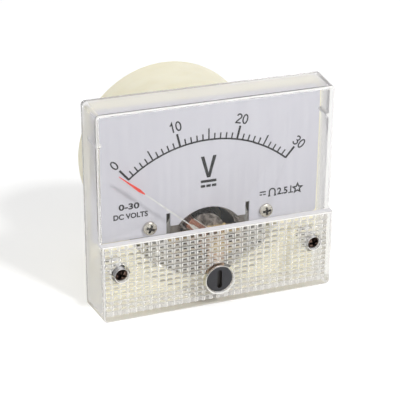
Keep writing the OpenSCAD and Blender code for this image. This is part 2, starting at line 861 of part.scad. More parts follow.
module frame_screw(side) {
    color("silver")
    pan_screw(side * frame_screw_x, frame_screw_z, frame_head_r, frame_head_h, frame_screw_r,
        dial_back_y, frame_back_y + frame_screw_len - end_play);
}

// The iron ring round the coil, with two stop pins and a slot for the strip
module yoke_ring() {
    color("dimgray")
    difference() {
        union() {
            ring(0, pivot_z, yoke_r, yoke_bore_r, dial_back_y, yoke_back_y);
            for (side = [-1, 1])
                bar(side * stop_dist * sin(stop_angle), pivot_z + stop_dist * cos(stop_angle),
                    stop_r, pointer_y - end_play, dial_back_y + frame_t / 2);
        }
        translate([-yoke_r - cut, dial_back_y - cut, pivot_z - strip_w / 2])
            cube([2 * (yoke_r + cut), frame_t + cut, strip_w]);
        bar(0, pivot_z - bridge_screw_dist, bridge_screw_r + thread_fit,
            dial_back_y - cut, dial_back_y + bridge_screw_len);
        bar(0, pivot_z - bridge_screw_dist, bridge_screw_r + thread_fit,
            yoke_back_y - bridge_screw_len, yoke_back_y + cut);
    }
}

module core_magnet() {
    color("gray") bar(0, pivot_z, core_r, frame_back_y, core_back_y);
}

module core_support() {
    color("goldenrod")
    slab(strip_y, frame_back_y) translate([0, pivot_z]) intersection() {
        square([2 * yoke_r, strip_w], center = true);
        circle(r = yoke_r - screw_fit);
    }
}

// A strip bent twice: a foot on the iron ring, a leg beside the coil and an
// arm across the axis with a threaded hole for the jewel screw
module bridge(seat_y, arm_y0, arm_y1, foot_y0, foot_y1) {
    arm_top = jewel_r + bridge_t;
    leg_y0 = min(seat_y, arm_y0);
    leg_y1 = max(seat_y, arm_y1);
    difference() {
        union() {
            slab(arm_y0, arm_y1) translate([-bridge_w / 2, pivot_z - leg_out_r])
                square([bridge_w, leg_out_r + arm_top]);
            slab(leg_y0, leg_y1) translate([-bridge_w / 2, pivot_z - leg_out_r])
                square([bridge_w, bridge_t]);
            slab(foot_y0, foot_y1) translate([0, pivot_z]) intersection() {
                translate([-bridge_w / 2, -foot_out_r]) square([bridge_w, foot_out_r - leg_out_r + bridge_t]);
                circle(r = foot_out_r);
            }
        }
        bar(0, pivot_z, jewel_r, arm_y0 - cut, arm_y1 + cut);
        bar(0, pivot_z - bridge_screw_dist, bridge_screw_r + screw_fit, foot_y0 - cut, foot_y1 + cut);
    }
}

// The arm of the front bridge has a slot for the lever's spring pin
module front_bridge() {
    slot_h = spring_pin_r + lever_gap;
    color("peru")
    difference() {
        bridge(dial_back_y, bridge_y, bridge_back_y, dial_back_y - bridge_t, dial_back_y);
        translate([-spring_slot_half, bridge_y - cut, pivot_z - spring_out_r - slot_h])
            cube([2 * spring_slot_half, bridge_t + 2 * cut, 2 * slot_h]);
    }
}

module front_bridge_screw() {
    color("silver")
    pan_screw(0, pivot_z - bridge_screw_dist, bridge_head_r, bridge_head_h, bridge_screw_r,
        dial_back_y - bridge_t, dial_back_y + bridge_screw_len - end_play);
}

// The rear bridge also carries the pin of the rear hairspring
module rear_bridge() {
    color("peru") {
        bridge(yoke_back_y, rear_bridge_y, rear_bridge_y + bridge_t, yoke_back_y, yoke_back_y + bridge_t);
        bar(0, pivot_z - spring_out_r, spring_pin_r, rear_spring_y, rear_bridge_y + bridge_t / 2);
    }
}

module rear_bridge_screw() {
    color("silver") mirror([0, 1, 0])
    pan_screw(0, pivot_z - bridge_screw_dist, bridge_head_r, bridge_head_h, bridge_screw_r,
        -yoke_back_y - bridge_t, -yoke_back_y + bridge_screw_len - end_play);
}

// A threaded rod with a cup for the pivot at one end and a slot at the other
module jewel_screw(cup_y, slot_y) {
    y0 = min(cup_y, slot_y);
    y1 = max(cup_y, slot_y);
    inward = cup_y > slot_y ? 1 : -1;
    cup_end = cup_y - inward * cup_depth;
    slot_d = jewel_r / 3;
    difference() {
        bar(0, pivot_z, jewel_r, y0, y1);
        bar(0, pivot_z, staff_r + running_fit, min(cup_end, cup_y + inward * cut), max(cup_end, cup_y + inward * cut));
        translate([0, slot_y, pivot_z]) cube([slot_d, 2 * slot_d, 2 * jewel_r + cut], center = true);
    }
}

module front_jewel_screw() {
    color("gold") jewel_screw(jewel_front_y, bridge_y - jewel_tail);
}

module rear_jewel_screw() {
    color("gold") jewel_screw(rear_jewel_y, rear_bridge_y + bridge_t + jewel_tail);
}

module front_lock_nut() {
    color("gold")
    hex_nut(0, pivot_z, lock_nut_af, jewel_r, lock_nut_back_y - lock_nut_t, lock_nut_back_y);
}

// ---- Wiring --------------------------------------------------------------

resistor_y = floor_y - resistor_stand;
head_front_y = floor_y - terminal_head_t;

module series_resistor() {
    color("tan")
    translate([-resistor_len, resistor_y, resistor_z]) rotate([0, 90, 0])
        cylinder(h = resistor_len, r = resistor_r);
}

// From the left terminal to the resistor
module lead_left() {
    color("firebrick")
    wire([
        [-terminal_x, head_front_y, terminal_z],
        [-terminal_x, resistor_y, terminal_z],
        [-terminal_x, resistor_y, resistor_z],
        [-resistor_len, resistor_y, resistor_z]
    ], wire_r);
}

// From the right terminal to the back of the iron ring
module lead_right() {
    tap_r = (yoke_r + yoke_bore_r) / 2;
    color("midnightblue")
    wire([
        [terminal_x, head_front_y, terminal_z],
        [terminal_x, resistor_y, terminal_z],
        [tap_r, resistor_y, pivot_z],
        [tap_r, yoke_back_y, pivot_z]
    ], wire_r);
}

// From the resistor to the arm of the rear bridge
module lead_coil() {
    drop_x = bridge_w / 2 - 2 * wire_r;
    tap_z = pivot_z - spring_out_r;
    color("seagreen")
    wire([
        [0, resistor_y, resistor_z],
        [drop_x, resistor_y, resistor_z],
        [drop_x, resistor_y, tap_z],
        [drop_x, rear_bridge_y + bridge_t, tap_z]
    ], wire_r);
}

// ---- Zero adjuster -------------------------------------------------------

module zero_adjuster() {
    color("dimgray")
    difference() {
        union() {
            bar(0, adjuster_z, adjuster_head_r, adjuster_y, head_back_y);
            bar(0, adjuster_z, adjuster_shaft_r, head_back_y, shaft_back_y);
            bar(0, adjuster_z - pin_throw, pin_r, shaft_back_y, pin_back_y);
        }
        translate([-driver_slot_w / 2, adjuster_y - cut, adjuster_z - driver_slot_len / 2])
            cube([driver_slot_w, cut + driver_slot_depth, driver_slot_len]);
    }
}

module adjuster_clip() {
    color("silver") ring(0, adjuster_z, clip_r, adjuster_shaft_r, clip_y, clip_y + clip_t);
}

// A ring on the jewel screw, a fork round the eccentric pin and the pin that
// holds the outer end of the front hairspring
module zero_lever() {
    slot_half = pin_r + fork_fit;
    color("darkgoldenrod") {
        slab(lever_y, lever_back_y) translate([0, pivot_z]) difference() {
            union() {
                circle(r = lever_ring_r);
                translate([-lever_w / 2, -fork_end]) square([lever_w, fork_end]);
                translate([-fork_w / 2, -fork_end]) square([fork_w, fork_end - fork_start + slot_half]);
            }
            circle(r = jewel_r + running_fit);
            translate([-slot_half, -fork_end - cut]) square([2 * slot_half, fork_end - fork_start + cut]);
        }
        bar(0, pivot_z - spring_out_r, spring_pin_r, lever_back_y - lever_t / 2, spring_front_y + spring_w);
    }
}

// ---- Hairsprings ---------------------------------------------------------

// Radius of the spiral after a part t of its length
function spring_radius(t) = spring_in_r + (spring_out_r - spring_pin_r - spring_t - spring_in_r) * t;

// A flat spiral that ends below the axis, beside its pin
module spiral(y0) {
    steps = 20 * spring_turns;
    last = -90;
    inner = [for (i = [0:steps]) let (t = i / steps, a = last + 360 * spring_turns * (t - 1))
        (spring_radius(t) - spring_t / 2) * [cos(a), sin(a)]];
    outer = [for (i = [steps:-1:0]) let (t = i / steps, a = last + 360 * spring_turns * (t - 1))
        (spring_radius(t) + spring_t / 2) * [cos(a), sin(a)]];
    slab(y0, y0 + spring_w) translate([0, pivot_z]) polygon(concat(inner, outer));
}

module front_hairspring() {
    color("darkgoldenrod") spiral(spring_front_y);
}

module rear_hairspring() {
    color("darkgoldenrod") spiral(rear_spring_y);
}

// ---- Moving coil and pointer ---------------------------------------------

// A square frame round the core, in the plane of the pointer and the axis
module coil_frame(half_out, half_in, front_out, front_in, back_in, back_out, w) {
    on_pivot() difference() {
        translate([-w / 2, front_out, -half_out]) cube([w, back_out - front_out, 2 * half_out]);
        translate([-w / 2 - cut, front_in, -half_in]) cube([w + 2 * cut, back_in - front_in, 2 * half_in]);
    }
}

module coil_former() {
    color("lightgray")
    coil_frame(former_out_r, former_in_r, former_front_y, former_front_y + former_t,
        former_back_y - former_t, former_back_y, coil_w);
}

module coil_winding() {
    color("chocolate")
    coil_frame(winding_r, former_out_r, winding_front_y, former_front_y,
        former_back_y, winding_back_y, coil_w - 2 * winding_inset);
}

// A staff on a round foot: the foot sits on the winding, the tip in the jewel
module front_pivot() {
    color("slategray") {
        bar(0, pivot_z, foot_r, winding_front_y - foot_t, winding_front_y);
        bar(0, pivot_z, staff_r, jewel_front_y - cup_depth + end_play, winding_front_y);
    }
}

// The rear staff also has the collet of the rear hairspring
module rear_pivot() {
    collet_r = spring_in_r - spring_t / 2;
    color("slategray") {
        bar(0, pivot_z, foot_r, winding_back_y, winding_back_y + foot_t);
        bar(0, pivot_z, staff_r, winding_back_y, rear_jewel_y + cup_depth - end_play);
        bar(0, pivot_z, collet_r, rear_spring_y, rear_spring_y + spring_w);
    }
}

// The hub on the front staff with three balance arms and a spring collet
module balance_cross() {
    collet_r = spring_in_r - spring_t / 2;
    color("gold")
    difference() {
        union() {
            bar(0, pivot_z, hub_r, pointer_y - end_play, pointer_back_y + end_play);
            bar(0, pivot_z, collet_r, spring_front_y, pointer_y);
            on_pivot() slab(pointer_y, pointer_back_y) {
                square([2 * balance_side_len, balance_arm_w], center = true);
                translate([-balance_arm_w / 2, -balance_tail_len]) square([balance_arm_w, balance_tail_len]);
            }
        }
        bar(0, pivot_z, staff_r, spring_front_y - cut, pointer_back_y + cut);
    }
}

module pointer_arm() {
    color("whitesmoke")
    on_pivot() slab(pointer_y, pointer_back_y) difference() {
        polygon([
            [-root_w / 2, 0], [-root_w / 2, root_end - root_w], [-arm_w / 2, root_end],
            [-arm_w / 2, tip_start], [arm_w / 2, tip_start],
            [arm_w / 2, root_end], [root_w / 2, root_end - root_w], [root_w / 2, 0]
        ]);
        circle(r = hub_r);
    }
}

// The red lance, widest near its root
module pointer_tip() {
    shoulder = tip_start + (pointer_len - tip_start) / 5;
    color("tomato")
    on_pivot() slab(pointer_y, pointer_back_y) polygon([
        [-arm_w / 2, tip_start], [-tip_w / 2, shoulder], [-arm_w / 4, pointer_len],
        [arm_w / 4, pointer_len], [tip_w / 2, shoulder], [arm_w / 2, tip_start]
    ]);
}

// A small sleeve on a balance arm, at a distance from the axis
module balance_weight(r, weight_len, dist, turn) {
    arm_mid_y = (pointer_y + pointer_back_y) / 2;
    color("gold")
    on_pivot() rotate([0, turn, 0]) difference() {
        translate([0, arm_mid_y, dist]) cylinder(h = weight_len, r = r, center = true);
        translate([0, arm_mid_y, dist]) cube([balance_arm_w, pointer_t, weight_len + cut], center = true);
    }
}

front_cover();
rear_housing();
cover_screw(-1);  // cover_screw_left
cover_screw(1);  // cover_screw_right
dial_plate();
dial_scale();
dial_screw(-1);  // dial_screw_left
dial_screw(1);  // dial_screw_right
movement_frame();
frame_screw(-1);  // frame_screw_left
frame_screw(1);  // frame_screw_right
yoke_ring();
core_magnet();
core_support();
front_bridge();
front_bridge_screw();
front_jewel_screw();
front_lock_nut();
rear_bridge();
rear_bridge_screw();
rear_jewel_screw();
mounting_stud(-1);  // mounting_stud_left
mounting_stud(1);  // mounting_stud_right
terminal_bolt(-1);  // terminal_bolt_left
terminal_bolt(1);  // terminal_bolt_right
fixing_nut(-1);  // fixing_nut_left
fixing_nut(1);  // fixing_nut_right
solder_lug(-1);  // solder_lug_left
solder_lug(1);  // solder_lug_right
terminal_washer(-1);  // terminal_washer_left
terminal_washer(1);  // terminal_washer_right
terminal_spring_washer(-1);  // terminal_spring_washer_left
terminal_spring_washer(1);  // terminal_spring_washer_right
clamp_nut(-1);  // clamp_nut_left
clamp_nut(1);  // clamp_nut_right
series_resistor();
lead_left();
lead_right();
lead_coil();
zero_adjuster();
adjuster_clip();
zero_lever();
front_hairspring();
rear_hairspring();
coil_former();
coil_winding();
front_pivot();
rear_pivot();
balance_cross();
pointer_arm();
pointer_tip();
balance_weight(side_weight_r, side_weight_len, side_weight_dist, -90);  // balance_weight_left
balance_weight(side_weight_r, side_weight_len, side_weight_dist, 90);  // balance_weight_right
balance_weight(tail_weight_r, tail_weight_len, tail_weight_dist, 180);  // balance_weight_tail
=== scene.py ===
"""Looks for a moving-coil panel meter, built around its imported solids.

The clear front cover, the printed dial, the screws, the adjuster and the
threaded hardware are modelled here as pieces of their own. Larger solids get
round edges, and the rest keep their shape and get a material. Sizes are in
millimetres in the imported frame, and become metres when a mesh is made. A
station is a place along Y, which runs from the front to the rear.
"""

import json
import logging
import math
from dataclasses import dataclass, field
from enum import Enum
from typing import Any, Sequence

import bmesh
import bpy
import numpy as np
from mathutils import Matrix, Vector

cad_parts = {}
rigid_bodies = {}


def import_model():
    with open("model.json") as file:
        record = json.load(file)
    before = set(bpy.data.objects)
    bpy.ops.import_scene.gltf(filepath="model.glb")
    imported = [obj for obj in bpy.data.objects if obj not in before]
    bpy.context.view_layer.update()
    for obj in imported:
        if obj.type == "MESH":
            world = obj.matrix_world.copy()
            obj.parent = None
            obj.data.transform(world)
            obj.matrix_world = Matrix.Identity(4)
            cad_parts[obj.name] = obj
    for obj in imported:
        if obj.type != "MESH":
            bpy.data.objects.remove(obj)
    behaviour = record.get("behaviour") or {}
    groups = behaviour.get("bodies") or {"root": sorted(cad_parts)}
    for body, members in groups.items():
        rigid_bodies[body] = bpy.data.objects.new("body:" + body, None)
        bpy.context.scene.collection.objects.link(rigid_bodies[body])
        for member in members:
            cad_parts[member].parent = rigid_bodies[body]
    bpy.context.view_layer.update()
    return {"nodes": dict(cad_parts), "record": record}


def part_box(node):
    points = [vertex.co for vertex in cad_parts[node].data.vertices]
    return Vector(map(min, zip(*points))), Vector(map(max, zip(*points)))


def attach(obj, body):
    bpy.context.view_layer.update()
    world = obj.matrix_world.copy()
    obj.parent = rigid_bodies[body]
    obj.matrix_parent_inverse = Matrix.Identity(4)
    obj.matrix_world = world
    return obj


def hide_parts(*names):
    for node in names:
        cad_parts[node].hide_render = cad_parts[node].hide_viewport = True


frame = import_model()

Pair = tuple[float, float]
Triple = tuple[float, float, float]
Line = Sequence[Pair] | np.ndarray
Object = bpy.types.Object
Material = bpy.types.Material
Materials = dict[str, Material]
Socket = bpy.types.NodeSocket

MM = 0.001
LOG = logging.getLogger("panel_meter")


# ---- Solids --------------------------------------------------------------


@dataclass
class Solid:
    """A closed surface, in millimetres."""

    points: np.ndarray  # one row of x, y and z for each vertex
    faces: list[list[int]]  # one list of vertex numbers for each face

    def moved(self, x: float, z: float) -> "Solid":
        """Returns the same solid at another place."""
        return Solid(self.points + np.array([x, 0.0, z]), self.faces)

    def turned(self, degrees: float) -> "Solid":
        """Turns the solid about the Y axis.

        Args:
            degrees: How far, from +Z towards +X.

        Returns:
            The turned solid.
        """
        a = math.radians(degrees)
        x, y, z = self.points.T
        across, up = x * math.cos(a) + z * math.sin(a), z * math.cos(a) - x * math.sin(a)
        return Solid(grid(across, y, up), self.faces)


def joined(solids: Sequence[Solid]) -> Solid:
    """Puts several closed solids in one piece, without merging them.

    Args:
        solids: The solids.

    Returns:
        One solid with all their faces.
    """
    points, faces, start = [], [], 0
    for solid in solids:
        points.append(solid.points)
        faces.extend([[i + start for i in f] for f in solid.faces])
        start += len(solid.points)
    return Solid(np.concatenate(points), faces)


def grid(x: Any, y: Any, z: Any) -> np.ndarray:
    """Points from three arrays of coordinates, each spread over the others' shape."""
    return np.stack(np.broadcast_arrays(x, y, z), -1)


def spun(r: Any, y: Any, turn: Any) -> np.ndarray:
    """Points at a radius, a station and a turn about the Y axis, from +Z towards +X."""
    return grid(r * np.sin(turn), y, r * np.cos(turn))


def arc(x: float, z: float, rx: float, rz: float, start: float, end: float, count: int = 15) -> np.ndarray:
    """Points along an arc in X and Z, from one angle to another.

    Args:
        x: Its middle, across.
        z: Its middle, up.
        rx: Its radius along X.
        rz: Its radius along Z.
        start: Angle of its first point from +X towards +Z, in degrees.
        end: Angle of its last point.
        count: Number of points.

    Returns:
        One row of x and z for each point.
    """
    t = np.radians(np.linspace(start, end, count))
    return np.stack([x + rx * np.cos(t), z + rz * np.sin(t)], 1)


def loft(rings: np.ndarray, cap_ends: bool = True) -> Solid:
    """Skins a stack of closed outlines.

    Args:
        rings: Array of rings by points by x, y, z. All rings have as many points.
        cap_ends: True closes the first and the last ring with a face.

    Returns:
        The skinned solid.
    """
    m, n, _ = rings.shape
    index = np.arange(m * n).reshape(m, n)
    after = np.roll(index, -1, axis=1)
    faces = np.stack([index[:-1], after[:-1], after[1:], index[1:]], -1).reshape(-1, 4).tolist()
    if cap_ends:
        faces += [index[0][::-1].tolist(), index[-1].tolist()]
    return Solid(rings.reshape(-1, 3).astype(float), faces)


def lathe(profile: Line, sides: int = 64) -> Solid:
    """Turns a profile about the Y axis.

    Args:
        profile: Pairs of radius and Y, from one end to the other. Flat faces close the ends.
        sides: Number of flat sides in the turn.

    Returns:
        The turned solid.
    """
    r, y = np.array(profile, float).T[:, :, None]
    return loft(spun(r, y, np.linspace(0.0, math.tau, sides, endpoint=False)))


def spool(end_r: float, middle_r: float, bevel: float, y: Pair, sides: int = 64) -> Solid:
    """A round rod between two stations whose radius changes over a bevel at each end."""
    front, back = y
    return lathe(
        [(end_r, front), (middle_r, front + bevel), (middle_r, back - bevel), (end_r, back)], sides
    )


def tube(section: Line, sides: int = 40) -> Solid:
    """Turns a closed section of radius and Y about the Y axis into a ring."""
    r, y = np.array(section, float).T
    return loft(spun(r, y, np.linspace(0.0, math.tau, sides + 1)[:, None]), cap_ends=False)


def plate(outline: Line, y: Pair) -> Solid:
    """A flat plate between two stations, its outline drawn in X and Z."""
    x, z = np.array(outline, float).T
    return loft(grid(x, np.array(y)[:, None], z))


def block(x: Pair, y: Pair, z: Pair) -> Solid:
    """A box between pairs of limits."""
    return plate([(x[0], z[0]), (x[1], z[0]), (x[1], z[1]), (x[0], z[1])], y)


def stroke(line: Line, width: float, y: Pair, closed: bool = False) -> Solid:
    """A line of even width through points in X and Z, with mitred bends.

    Args:
        line: The points of its middle.
        width: Its width.
        y: Stations of its front and back.
        closed: True joins the last point to the first.

    Returns:
        The line as a closed solid.
    """
    p = np.array(line, float)
    before = np.roll(p, 1, 0) if closed else np.vstack([2 * p[:1] - p[1:2], p[:-1]])
    after = np.roll(p, -1, 0) if closed else np.vstack([p[1:], 2 * p[-1:] - p[-2:-1]])
    across = []
    for along in (p - before, after - p):
        along = along / np.linalg.norm(along, axis=1)[:, None]
        across.append(np.stack([-along[:, 1], along[:, 0]], 1))
    mitre = across[0] + across[1]
    mitre = mitre / np.sum(mitre * across[1], axis=1)[:, None] * width / 2
    left, right = p + mitre, p - mitre
    corners = ((left, y[0]), (left, y[1]), (right, y[1]), (right, y[0]))
    rings = np.stack([grid(side[:, 0], station, side[:, 1]) for side, station in corners], 1)
    if closed:
        rings = np.concatenate([rings, rings[:1]])
    return loft(rings, cap_ends=not closed)


# ---- Pieces --------------------------------------------------------------


SMOOTH_UNDER = 32.0  # faces that meet at less than this angle are shaded as one round surface
NUT_SMOOTH_UNDER = 20.0
HEAD_SMOOTH_UNDER = 30.0
THREAD_SMOOTH_UNDER = 40.0
SOFT_SMOOTH_UNDER = 40.0
ROUND_OVER = 35.0  # edges that turn by more than this angle are rounded
FLAT_UNDER = 0.5  # and faces that meet at less than this one are first made one


class Joining(Enum):
    """How one solid acts on another."""

    ADD = "UNION"
    CUT = "DIFFERENCE"
    KEEP_INSIDE = "INTERSECT"


def linked(name: str, data: Any) -> Object:
    """Puts a mesh, curve, lamp or camera in the scene.

    Args:
        name: Name of the object.
        data: What the object shows.

    Returns:
        The new object.
    """
    obj = bpy.data.objects.new(name, data)
    bpy.context.scene.collection.objects.link(obj)
    return obj


def result_of(obj: Object) -> bpy.types.Mesh:
    """The mesh that an object has after its modifiers."""
    return bpy.data.meshes.new_from_object(obj.evaluated_get(bpy.context.evaluated_depsgraph_get()))


def tidy_mesh(mesh: bpy.types.Mesh, smooth_under: float) -> None:
    """Welds a mesh, turns its faces outward and sets which edges look sharp.

    Args:
        mesh: The mesh to tidy.
        smooth_under: The angle that SMOOTH_UNDER tells of, in degrees.
    """
    work = bmesh.new()
    work.from_mesh(mesh)
    bmesh.ops.remove_doubles(work, verts=work.verts, dist=1e-7)
    bmesh.ops.dissolve_degenerate(work, edges=work.edges, dist=1e-8)
    bmesh.ops.recalc_face_normals(work, faces=work.faces)
    for f in work.faces:
        f.smooth = True
    for e in work.edges:
        e.smooth = len(e.link_faces) == 2 and e.calc_face_angle(math.pi) < math.radians(smooth_under)
    work.to_mesh(mesh)
    work.free()


def make_object(name: str, solid: Solid, smooth_under: float = SMOOTH_UNDER) -> Object:
    """Makes a mesh object at the origin from a solid.

    Args:
        name: Name of the piece.
        solid: Its surface, in millimetres.
        smooth_under: As in tidy_mesh.

    Returns:
        The new object.
    """
    mesh = bpy.data.meshes.new(name)
    mesh.from_pydata((solid.points * MM).tolist(), [], solid.faces)
    mesh.validate()
    tidy_mesh(mesh, smooth_under)
    return linked(name, mesh)


def apply_modifiers(obj: Object, smooth_under: float) -> None:
    """Gives a piece the mesh that its modifiers make, and tidies it.

    Args:
        obj: The piece.
        smooth_under: As in tidy_mesh.
    """
    old, obj.data = obj.data, result_of(obj)
    obj.modifiers.clear()
    bpy.data.meshes.remove(old)
    tidy_mesh(obj.data, smooth_under)


def combine(base: Object, tool: Solid, how: Joining, smooth_under: float = SMOOTH_UNDER) -> None:
    """Adds a solid to an object, cuts it away or keeps what they share.

    Args:
        base: The object to change.
        tool: The solid that acts on it.
        how: What the solid does.
        smooth_under: As in tidy_mesh.
    """
    helper = make_object("helper", tool)
    step = base.modifiers.new("step", "BOOLEAN")
    step.operation = how.value
    step.solver = "EXACT"
    step.object = helper
    apply_modifiers(base, smooth_under)
    bpy.data.batch_remove((helper, helper.data))


def merge(base: Object, extra: Solid, smooth_under: float = SMOOTH_UNDER) -> None:
    """Adds a solid's faces to an object as they are.

    Args:
        base: The object to change.
        extra: The solid to add.
        smooth_under: As in tidy_mesh, for the solid alone.
    """
    helper = make_object("helper", extra, smooth_under)
    work = bmesh.new()
    work.from_mesh(base.data)
    work.from_mesh(helper.data)
    work.to_mesh(base.data)
    work.free()
    bpy.data.batch_remove((helper, helper.data))


def node_box(name: str) -> tuple[np.ndarray, np.ndarray]:
    """Lowest and highest corner of a CAD node, in millimetres."""
    low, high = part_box(name)
    return np.array(low) / MM, np.array(high) / MM


def node_middle(name: str) -> np.ndarray:
    """Middle of a CAD node's box, in millimetres."""
    low, high = node_box(name)
    return (low + high) / 2


def body_of(node: str) -> str:
    """Name of the body that a CAD node belongs to."""
    return next(body for body, nodes in frame["record"]["behaviour"]["bodies"].items() if node in nodes)


def slot_of(node: str) -> str:
    """Name of a CAD node's slot in the record."""
    return next(s["material_slot"] for s in frame["record"]["subparts"] if s["node"] == node)


def place(obj: Object, body: str, slot: str, materials: Materials, stands_for: Sequence[str] = ()) -> None:
    """Gives a piece its material, its body and the nodes that it stands for.

    Args:
        obj: The piece.
        body: The body that it moves with.
        slot: The record's slot for its finish.
        materials: The materials by slot.
        stands_for: The nodes that it hides.
    """
    obj.data.materials.clear()
    obj.data.materials.append(materials[slot])
    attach(obj, body)
    if stands_for:
        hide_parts(*stands_for)
    LOG.info("%s rides on %s: %d faces", obj.name, body, len(obj.data.polygons))


def stand_in(obj: Object, node: str, materials: Materials) -> None:
    """Places a piece that stands for one CAD node, with that node's body and slot."""
    place(obj, body_of(node), slot_of(node), materials, [node])


def seat(obj: Object, node: str, materials: Materials) -> None:
    """Moves a piece made round the Y axis to its node's place, and stands it in for the node.

    Args:
        obj: The piece.
        node: The CAD node.
        materials: The materials by slot.
    """
    x, _, z = node_middle(node)
    obj.data.transform(Matrix.Translation(Vector((x, 0.0, z)) * MM))
    stand_in(obj, node, materials)


def soften(node: str, edge: float, materials: Materials, widen: float = 1.0) -> None:
    """Stands a copy with round edges in for a CAD node.

    Args:
        node: The CAD node.
        edge: Width of the rounding on its sharp edges.
        materials: The materials by slot.
        widen: Scale along X.
    """
    source = frame["nodes"][node]
    mesh = source.data.copy()
    mesh.transform(Matrix.Diagonal((widen, 1.0, 1.0, 1.0)) @ source.matrix_world)
    work = bmesh.new()
    work.from_mesh(mesh)
    bmesh.ops.remove_doubles(work, verts=work.verts, dist=1e-6)
    bmesh.ops.dissolve_limit(
        work, angle_limit=math.radians(FLAT_UNDER), verts=work.verts, edges=work.edges, delimit={"NORMAL"}
    )
    work.to_mesh(mesh)
    work.free()
    obj = linked(f"{node}_piece", mesh)
    step = obj.modifiers.new("round edges", "BEVEL")
    step.width = edge * MM
    step.segments = 2
    step.limit_method = "ANGLE"
    step.angle_limit = math.radians(ROUND_OVER)
    apply_modifiers(obj, SOFT_SMOOTH_UNDER)
    stand_in(obj, node, materials)


# ---- Materials -----------------------------------------------------------


RECESS_SHADE = "recess"  # the faces' own value that says how much painted shade they get
# colour of the painted shade in recesses, where shadow falls
RECESS_SHADE_COLOUR = (0.02, 0.017, 0.014)
WHITE = (1.0, 1.0, 1.0, 1.0)
MOST = (0.3, 0.7)  # the span that holds most of a random pattern's values
PLASTIC_IOR = 1.49


def mark_recess_shade(obj: Object, y: Pair, reach: Pair, is_round: bool = False, painted_shade: float = 1.0) -> None:
    """Marks the faces inside a recess round the Y axis for painted shade, which darkens them as the recess's
    shadow would.

    Args:
        obj: The piece, before it is seated.
        y: The stations between which the faces lie.
        reach: How far from the axis they lie along X and along Z.
        is_round: True for a round recess, False for one with straight sides.
        painted_shade: How dark the painted shade is, from 0 to 1.
    """
    middles = np.empty(len(obj.data.polygons) * 3)
    obj.data.polygons.foreach_get("center", middles)
    across, deep, up = middles.reshape(-1, 3).T / MM
    measure = np.hypot if is_round else np.maximum
    inside = measure(np.abs(across) / reach[0], np.abs(up) / reach[1]) < 1
    inside &= (deep > y[0]) & (deep < y[1])
    layer = obj.data.attributes.new(RECESS_SHADE, "FLOAT", "FACE")
    layer.data.foreach_set("value", (painted_shade * inside).astype(np.float32))


